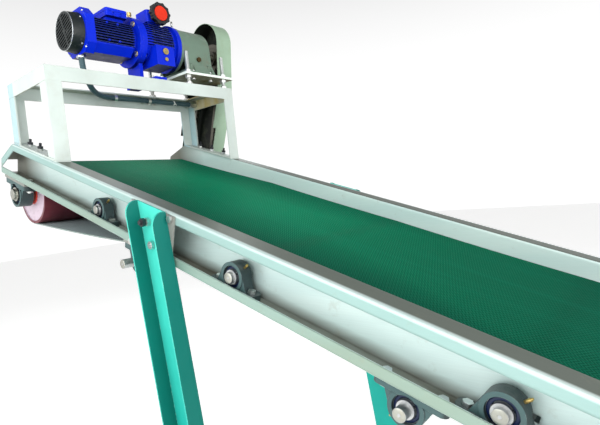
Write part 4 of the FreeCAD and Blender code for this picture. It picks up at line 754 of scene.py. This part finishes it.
def belt_path():
    """Middle of the belt as (x, z, outward normal, sag) round the loop."""
    rollers = []
    for node, radius in BELT_LOOP:
        place = middle_of(node)
        rollers.append((place.x, place.z, radius + math.copysign(GAP + THICK / 2, radius)))
    count = len(rollers)
    normals = [run_normal(rollers[k], rollers[(k + 1) % count]) for k in range(count)]
    path = []
    for k, (x, z, radius) in enumerate(rollers):
        start = math.atan2(normals[k - 1].y, normals[k - 1].x)
        turn = (math.atan2(normals[k].y, normals[k].x) - start) % (2 * math.pi)
        if radius > 0 and turn > 1e-6:
            turn -= 2 * math.pi
        if abs(turn) > 2 * math.pi - 1e-4:
            turn = 0.0
        steps = max(1, int(abs(turn) / TURN_STEP))
        for n in range(steps + 1):
            angle = start + turn * n / steps
            out = Vector((math.cos(angle), math.sin(angle)))
            path.append((x + radius * out.x, z + radius * out.y, out, 0.0))
        after = rollers[(k + 1) % count]
        begin = Vector((x, z)) + radius * normals[k]
        end = Vector(after[:2]) + after[2] * normals[k]
        span = (end - begin).length
        parts = max(2, int(span / RUN_STEP))
        slack = SHORT_SAG if span < LONG_RUN else LONG_SAG
        for n in range(1, parts):
            share = n / parts
            spot = begin.lerp(end, share)
            path.append((spot.x, spot.y, normals[k], slack * 4 * share * (1 - share)))
    return path


def make_belt(green, fabric, edge):
    """Endless belt: green cover outside, fabric inside, plies and a green line on its cut edges."""
    path = belt_path()
    low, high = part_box("belt")
    columns = 24
    half = THICK / 2
    layers = (half, half - COVER, -half)
    bm = bmesh.new()
    sheet = bm.loops.layers.uv.new("belt")
    rows, lengths, travelled = [], [], 0.0
    for k, (x, z, out, sag) in enumerate(path):
        if k:
            travelled += math.hypot(x - path[k - 1][0], z - path[k - 1][1])
        lengths.append(travelled)
        outer, inner, cut = [], [], []
        for c in range(columns + 1):
            y = low.y + (high.y - low.y) * c / columns
            ripple = 0.0003 * noise.noise(Vector((travelled * 5, y * 7, 0))) if sag else 0.0
            down = -sag + ripple
            outer.append(bm.verts.new((x + layers[0] * out.x, y, z + layers[0] * out.y + down)))
            inner.append(bm.verts.new((x + layers[2] * out.x, y, z + layers[2] * out.y + down)))
        for y in (low.y, high.y):
            cut.append(bm.verts.new((x + layers[1] * out.x, y, z + layers[1] * out.y - sag)))
        rows.append((outer, inner, cut))
    whole = travelled + math.hypot(path[0][0] - path[-1][0], path[0][1] - path[-1][1])
    for k, (outer, inner, cut) in enumerate(rows):
        outer2, inner2, cut2 = rows[(k + 1) % len(rows)]
        after = lengths[k + 1] if k + 1 < len(rows) else whole
        strips = []
        for c in range(columns):
            strips.append(((outer[c], outer[c + 1], outer2[c + 1], outer2[c]), 0))
            strips.append(((inner[c + 1], inner[c], inner2[c], inner2[c + 1]), 1))
        for side, c in ((0, 0), (1, columns)):
            strips.append(((outer[c], outer2[c], cut2[side], cut[side]), 0))
            strips.append(((cut[side], cut2[side], inner2[c], inner[c]), 2))
        first = {id(v) for v in outer + inner + cut}
        for corners, finish in strips:
            face = bm.faces.new(corners)
            face.material_index = finish
            face.smooth = True
            for loop in face.loops:
                along = lengths[k] if id(loop.vert) in first else after
                loop[sheet].uv = (along, loop.vert.co.y)
    mesh = mesh_of("belt_band", bm)
    made = piece("belt_band", mesh, "frame", [green, fabric, edge], 40)
    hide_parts("belt")


# ---------------------------------------------------------------- bearings
BLOCKS = {"small": dict(bore=12.5, race=17.0, ring=26.0, outer=8.5, inner=17.0),
          "large": dict(bore=20.0, race=26.5, ring=40.0, outer=10.5, inner=24.5)}
TURNING = [("carrying_roller_%d" % n, "carrier_%d" % n, "small") for n in (1, 2, 3, 4)]
TURNING += [("return_roller_%d" % n, "returner_%d" % n, "small") for n in (1, 2, 3)]
TURNING += [("head_drum", "head_drum_set", "large"), ("tail_drum", "tail_drum_set", "large")]
BLOCK_YS = (CORNER.y + BOLT_INSET * MM, CORNER.y + WIDTH - BOLT_INSET * MM)


def make_seals(rubber, steel):
    """Blue rubber seals with a pressed steel flinger at both faces of every insert."""
    bm = bmesh.new()
    pressed = bmesh.new()
    for node, _, size in TURNING:
        block = BLOCKS[size]
        place = middle_of(node)
        for y in BLOCK_YS:
            for side in (-1, 1):
                turn = facing_matrix((place.x, y, place.z), (0, side, 0))
                face = block["outer"] * MM
                seal = [(block["race"] + 1.5, face), (block["race"] + 1.8, face + 0.0009),
                        (block["ring"] - 2.6, face + 0.0013), (block["ring"] - 1.2, face + 0.0006),
                        (block["ring"] - 1.0, face)]
                add_lathe(bm, [(r * MM, h) for r, h in seal], turn, 40)
                cup = [(block["race"] + 0.5, face), (block["race"] + 0.5, face + 0.0022),
                       (block["race"] + 0.9, face + 0.0027), (block["race"] + 1.4, face + 0.0016),
                       (block["race"] + 1.5, face)]
                add_lathe(pressed, [(r * MM, h) for r, h in cup], turn, 40)
    piece("bearing_seals", mesh_of("bearing_seals", bm), "frame", [rubber], 50)
    piece("bearing_flingers", mesh_of("bearing_flingers", pressed), "frame", [steel], 50)


def make_collars(dark, steel):
    """Grub screws in the inner rings, and the turned ends of the shafts."""
    for node, body, size in TURNING:
        block = BLOCKS[size]
        shaft = "head_shaft" if node == "head_drum" else node
        place = middle_of(node)
        low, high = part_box(shaft)
        screws = bmesh.new()
        for y, out in zip(BLOCK_YS, (-1, 1)):
            for angle in (0.4, 2.5):
                way = Vector((math.cos(angle), 0, math.sin(angle)))
                seat = Vector((place.x, y + out * (block["inner"] - 3.6) * MM, place.z))
                seat += way * (block["race"] - 0.4) * MM
                grub = [(0, 0.0009), (0.0011, 0.0009), (0.0013, 0.0019), (0.0022, 0.0019), (0.0026, 0.0014),
                        (0.0026, 0)]
                add_lathe(screws, grub, facing_matrix(seat, way), 12, closed=False)
        name = "grub_screws_" + body
        piece(name, mesh_of(name, screws), body, [dark], 35)
        ends = bmesh.new()
        bore = block["bore"] * MM
        for y, out in ((low.y, -1), (high.y, 1)):
            face = [(0, -0.0030), (0.0016, -0.0012), (0.0034, 0.0004), (bore - 0.0012, 0.0005),
                    (bore - 0.0004, 0.0001), (bore - 0.0003, -0.0006)]
            add_lathe(ends, face, facing_matrix((place.x, y, place.z), (0, out, 0)), 32, closed=False)
        name = "shaft_ends_" + body
        piece(name, mesh_of(name, ends), body, [steel], 30)


# ---------------------------------------------------------------- threads, nuts and small fixings
def add_thread(bm, matrix, radius, pitch, length, depth, segments=14):
    """Helical thread: a sleeve whose radius rises and falls along the helix."""
    per_turn = 4
    rings = []
    count = int(length / pitch * per_turn)
    for n in range(count + 1):
        z = length * n / count
        loop = []
        for k in range(segments):
            phase = (z / pitch - k / segments) % 1.0
            r = radius - depth * abs(2 * phase - 1)
            if n in (0, count):
                r = radius - 1.6 * depth
            loop.append(bm.verts.new(matrix @ polar(r, 2 * math.pi * k / segments, z)))
        rings.append(loop)
    skin(bm, rings)


def add_nut(bm, matrix, across, height, bore):
    """Hexagon nut with chamfered corners and an open bore."""
    segments = 24
    corner = 0.985 * across / math.sqrt(3)
    loops = []
    for z, share in ((0.0, 0.97), (height * 0.12, 1.0), (height * 0.88, 1.0), (height, 0.97)):
        loop = []
        for k in range(segments):
            turn = 2 * math.pi * k / segments
            lean = (turn + math.pi / 6) % (math.pi / 3) - math.pi / 6
            r = min(across / 2 / math.cos(lean), corner * share)
            loop.append(bm.verts.new(matrix @ polar(r, turn, z)))
        loops.append(loop)
    loops += [add_ring(bm, matrix, bore, z, segments) for z in (height, 0.0)]
    skin(bm, loops + loops[:1], capped=False)


def make_rods(finish):
    """The four jacking rods with their threads."""
    low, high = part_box("threaded_rods")
    bm = bmesh.new()
    radius = 0.008
    for x, y in product((low.x + radius, high.x - radius), (low.y + radius, high.y - radius)):
        add_thread(bm, Matrix.Translation((x, y, low.z)), radius, 0.002, high.z - low.z, 0.0011)
    made = piece("rod_threads", mesh_of("rod_threads", bm), "frame", [finish], 60)
    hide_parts("threaded_rods")


def make_studs(finish):
    """Dark studs standing out of the bridge bars, and the studs through the leg webs."""
    bm = bmesh.new()
    bar_start = POST_SPANS[0][0] / math.cos(INCLINE)
    bar_top = 12.4
    up = Vector((math.sin(INCLINE), 0, math.cos(INCLINE)))
    for u in (bar_start + 75, bar_start + 160, bar_start + 245):
        for y in (BOLT_INSET, WIDTH * 1000 - BOLT_INSET):
            foot = sloped(u, y, bar_top)
            add_thread(bm, facing_matrix(foot, up), 0.005, 0.0015, 0.020, 0.0008, 12)
            add_nut(bm, facing_matrix(foot + up * 0.0006, up), 0.016, 0.008, 0.0046)
    web_out = 22.0
    for u in LEG_PLACES:
        for y, out in ((-web_out, -1), (WIDTH * 1000 + web_out, 1)):
            seat = sloped(u + 60, y, -42)
            way = Vector((0, out, 0))
            add_thread(bm, facing_matrix(seat, way), 0.006, 0.00175, 0.016, 0.0009, 12)
            add_nut(bm, facing_matrix(seat + way * 0.0008, way), 0.019, 0.0095, 0.0055)
    piece("dark_studs", mesh_of("dark_studs", bm), "frame", [finish], 40)


def add_dome(bm, place, direction, radius, height):
    """Round-headed screw with a driver recess."""
    outline = [(0, 0.55), (0.28, 0.55), (0.36, 1), (0.62, 0.92), (0.88, 0.6), (1, 0.15), (1, -0.3)]
    head = [(radius * r, height * h) for r, h in outline]
    add_lathe(bm, head, facing_matrix(place, direction), 16, closed=False)


def make_motor_details(silver, brass, blue):
    """Cowl rim and screws, shield screws, lid screws, brass washers and fin lugs."""
    signs = list(product((-1, 1), repeat=2))
    cover_low, cover_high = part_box("fan_cover")
    bm = bmesh.new()
    rim = (cover_high.x - cover_low.x) / 2 - 0.0055
    wire = 0.0011
    turns = [2 * math.pi * k / 8 for k in range(8)]
    tube = [(rim + wire * math.cos(a), 0.0006 + wire * math.sin(a)) for a in turns]
    back = Matrix.Translation((DRIVE.x, cover_low.y, DRIVE.z)) @ Matrix.Rotation(math.radians(-90), 4, "X")
    add_lathe(bm, tube, back, 72)
    shield_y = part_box("motor_end_shield")[0].y
    shield_reach = 0.0655
    for sx, sz in signs:
        seat = Vector((DRIVE.x + sx * shield_reach, shield_y, DRIVE.z + sz * shield_reach))
        add_dome(bm, seat, (0, -1, 0), 0.0042, 0.0032)
    for turn in (0.6, 2.4, 3.9, 5.5):
        way = Vector((math.cos(turn), 0, math.sin(turn)))
        add_dome(bm, Vector((DRIVE.x, cover_high.y - 0.007, DRIVE.z)) + way * 0.0740, way, 0.0034, 0.0026)
    lid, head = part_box("terminal_lid"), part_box("control_box")
    lid_places = product((lid[0].x + 0.010, lid[1].x - 0.010), (lid[0].y + 0.010, lid[1].y - 0.010))
    head_places = product((head[0].x + 0.014, head[0].x + 0.074), (head[0].y + 0.012, head[1].y - 0.012))
    for places, top in ((lid_places, lid[1].z), (head_places, head[1].z)):
        for x, y in places:
            add_dome(bm, Vector((x, y, top)), (0, 0, 1), 0.0036, 0.0026)
    piece("drive_screws", mesh_of("drive_screws", bm), "frame", [silver], 40)

    washers = bmesh.new()
    flange_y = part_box("motor_flange")[0].y
    bolt_reach = 0.05834
    ring = [(0.0058, -0.0002), (0.0058, 0.0018), (0.0108, 0.0018), (0.0116, 0.0010), (0.0116, -0.0002)]
    for sx, sz in signs:
        seat = Vector((DRIVE.x + sx * bolt_reach, flange_y, DRIVE.z + sz * bolt_reach))
        add_lathe(washers, ring, facing_matrix(seat, (0, -1, 0)), 24)
    piece("flange_washers", mesh_of("flange_washers", washers), "frame", [brass], 40)

    lugs = bmesh.new()
    frame_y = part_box("motor_frame")[0].y
    crest = 0.083
    boss = [(0.0052, 0), (0.0046, 0.0082), (0.0030, 0.0098), (0.0024, 0.0098), (0.0018, 0.0080),
            (0, 0.0080)]
    for side, rise, along in product((-1, 1), (-0.0285, 0.0380), (0.055, 0.098)):
        reach = math.sqrt(crest ** 2 - rise ** 2) - 0.008
        seat = Vector((DRIVE.x + side * reach, frame_y + along, DRIVE.z + rise))
        add_lathe(lugs, boss, facing_matrix(seat, (side, 0, 0)), 14, closed=False)
    piece("fin_lugs", mesh_of("fin_lugs", lugs), "frame", [blue], 40)


# ---------------------------------------------------------------- conduit
CONDUIT_ROUTE = [(174, 214, 300), (174, 214, 262), (166, 232, 218), (128, 270, 190), (71, 338, 187),
                 (71, 414, 186), (71, 514, 187), (71, 624, 186), (71, 770, 187)]


def smooth_route(points):
    """Points along the route's own spline, read back from a curve with no thickness."""
    data = bpy.data.curves.new("route", "CURVE")
    data.dimensions = "3D"
    data.resolution_u = 40
    spline = data.splines.new("NURBS")
    spline.points.add(len(points) - 1)
    for point, place in zip(spline.points, points):
        point.co = (*place, 1)
    spline.order_u = 3
    spline.use_endpoint_u = True
    guide = bpy.data.objects.new("route", data)
    bpy.context.scene.collection.objects.link(guide)
    bpy.context.view_layer.update()
    mesh = bpy.data.meshes.new_from_object(guide)
    path = [v.co.copy() for v in mesh.vertices]
    bpy.data.objects.remove(guide)
    bpy.data.meshes.remove(mesh)
    return path


def even_steps(path, step):
    """The same line in equal short steps, as (place, direction) pairs."""
    total = sum((b - a).length for a, b in zip(path, path[1:]))
    count = int(total / step)
    steps, k, done = [], 0, 0.0
    for n in range(count + 1):
        want = total * n / count
        while k < len(path) - 2 and done + (path[k + 1] - path[k]).length < want:
            done += (path[k + 1] - path[k]).length
            k += 1
        span = path[k + 1] - path[k]
        steps.append((path[k] + span * min(1.0, (want - done) / span.length), span.normalized()))
    return steps


def make_conduit(finish, tie):
    """Ribbed hose from the motor to the far beam, held by one pale tie besides its clips."""
    steps_per_rib, around = 4, 18
    steps = even_steps(smooth_route([level(*p) for p in CONDUIT_ROUTE]), 0.00125)
    bm = bmesh.new()
    side = Vector((1, 0, 0))
    rings = []
    for n, (place, way) in enumerate(steps):
        side = (side - way * side.dot(way)).normalized()
        third = way.cross(side)
        radius = 0.0110 - 0.0007 * (0.5 + 0.5 * math.cos(2 * math.pi * n / steps_per_rib))
        rings.append([bm.verts.new(place + radius * (side * math.cos(a) + third * math.sin(a)))
                      for a in [2 * math.pi * k / around for k in range(around)]])
    skin(bm, rings)
    made = piece("conduit_hose", mesh_of("conduit_hose", bm), "frame", [finish], 60)
    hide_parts("conduit")
    place, way = steps[int(len(steps) * 0.86)]
    band = bmesh.new()
    add_lathe(band, [(0.0112, -0.002), (0.0126, -0.002), (0.0126, 0.002), (0.0112, 0.002)],
              facing_matrix(place, way), 32)
    add_lathe(band, [(0, 0.018), (0.0017, 0.018), (0.0021, 0.0), (0, 0.0)],
              facing_matrix(place + Vector((0.0118, 0, 0.002)), (0.5, 0.1, -0.85)), 8, closed=False)
    piece("cable_tie", mesh_of("cable_tie", band), "frame", [tie], 40)


# ---------------------------------------------------------------- welds
def add_bead(bm, start, end, radius):
    """Weld bead: a row of overlapping ripples laid from start to end."""
    way = (end - start).normalized()
    side = way.cross(Vector((0.3, 0.2, 1))).normalized()
    third = way.cross(side)
    count = max(6, int((end - start).length / 0.0016))
    rings = []
    for n in range(count + 1):
        place = start.lerp(end, n / count)
        swell = radius * (0.86 + 0.14 * math.cos(2 * math.pi * n / 3) + 0.12 * noise.noise(place * 160))
        if n in (0, count):
            swell *= 0.3
        rings.append([bm.verts.new(place + swell * (side * math.cos(a) + third * math.sin(a)))
                      for a in [math.pi * k / 4 for k in range(8)]])
    skin(bm, rings)


def make_welds(finish):
    """Beads along the feet of the bridge posts and under the ends of the beams."""
    bm = bmesh.new()
    bar_top, proud = 6.3, 0.4
    for x0, x1 in POST_SPANS:
        for y in (BRIDGE_NEAR - proud, BRIDGE_FAR + proud):
            ends = (x0 + 1, x1 - 1)
            foot = [level(x, y, bar_top / math.cos(INCLINE) - x * math.tan(INCLINE)) for x in ends]
            add_bead(bm, *foot, 0.0026)
            top = [level(x, y, BEAM_UNDER) for x in ends]
            add_bead(bm, *top, 0.0011)
    piece("bridge_welds", mesh_of("bridge_welds", bm), "frame", [finish], 60)


# ---------------------------------------------------------------- the whole
make_camera()
make_studio()
make_floor()
FINISHES = make_finishes()
dress_nodes(FINISHES)
DARK = moulded("dark_steel", (0.020, 0.022, 0.026), 0.38, coat=0.1)
make_belt(FINISHES["belt_green"], belt_fabric(), belt_edge())
make_seals(moulded("seal_blue", (0.004, 0.012, 0.050), 0.36, marred=0.08), FINISHES["bearing_steel"])
make_collars(DARK, FINISHES["shaft_steel"])
make_rods(FINISHES["zinc"])
make_studs(DARK)
make_motor_details(FINISHES["zinc"], FINISHES["brass"], FINISHES["motor_blue"])
make_conduit(FINISHES["conduit_grey"], moulded("tie_white", (0.72, 0.74, 0.70), 0.4))
make_welds(FINISHES["bridge_paint"])
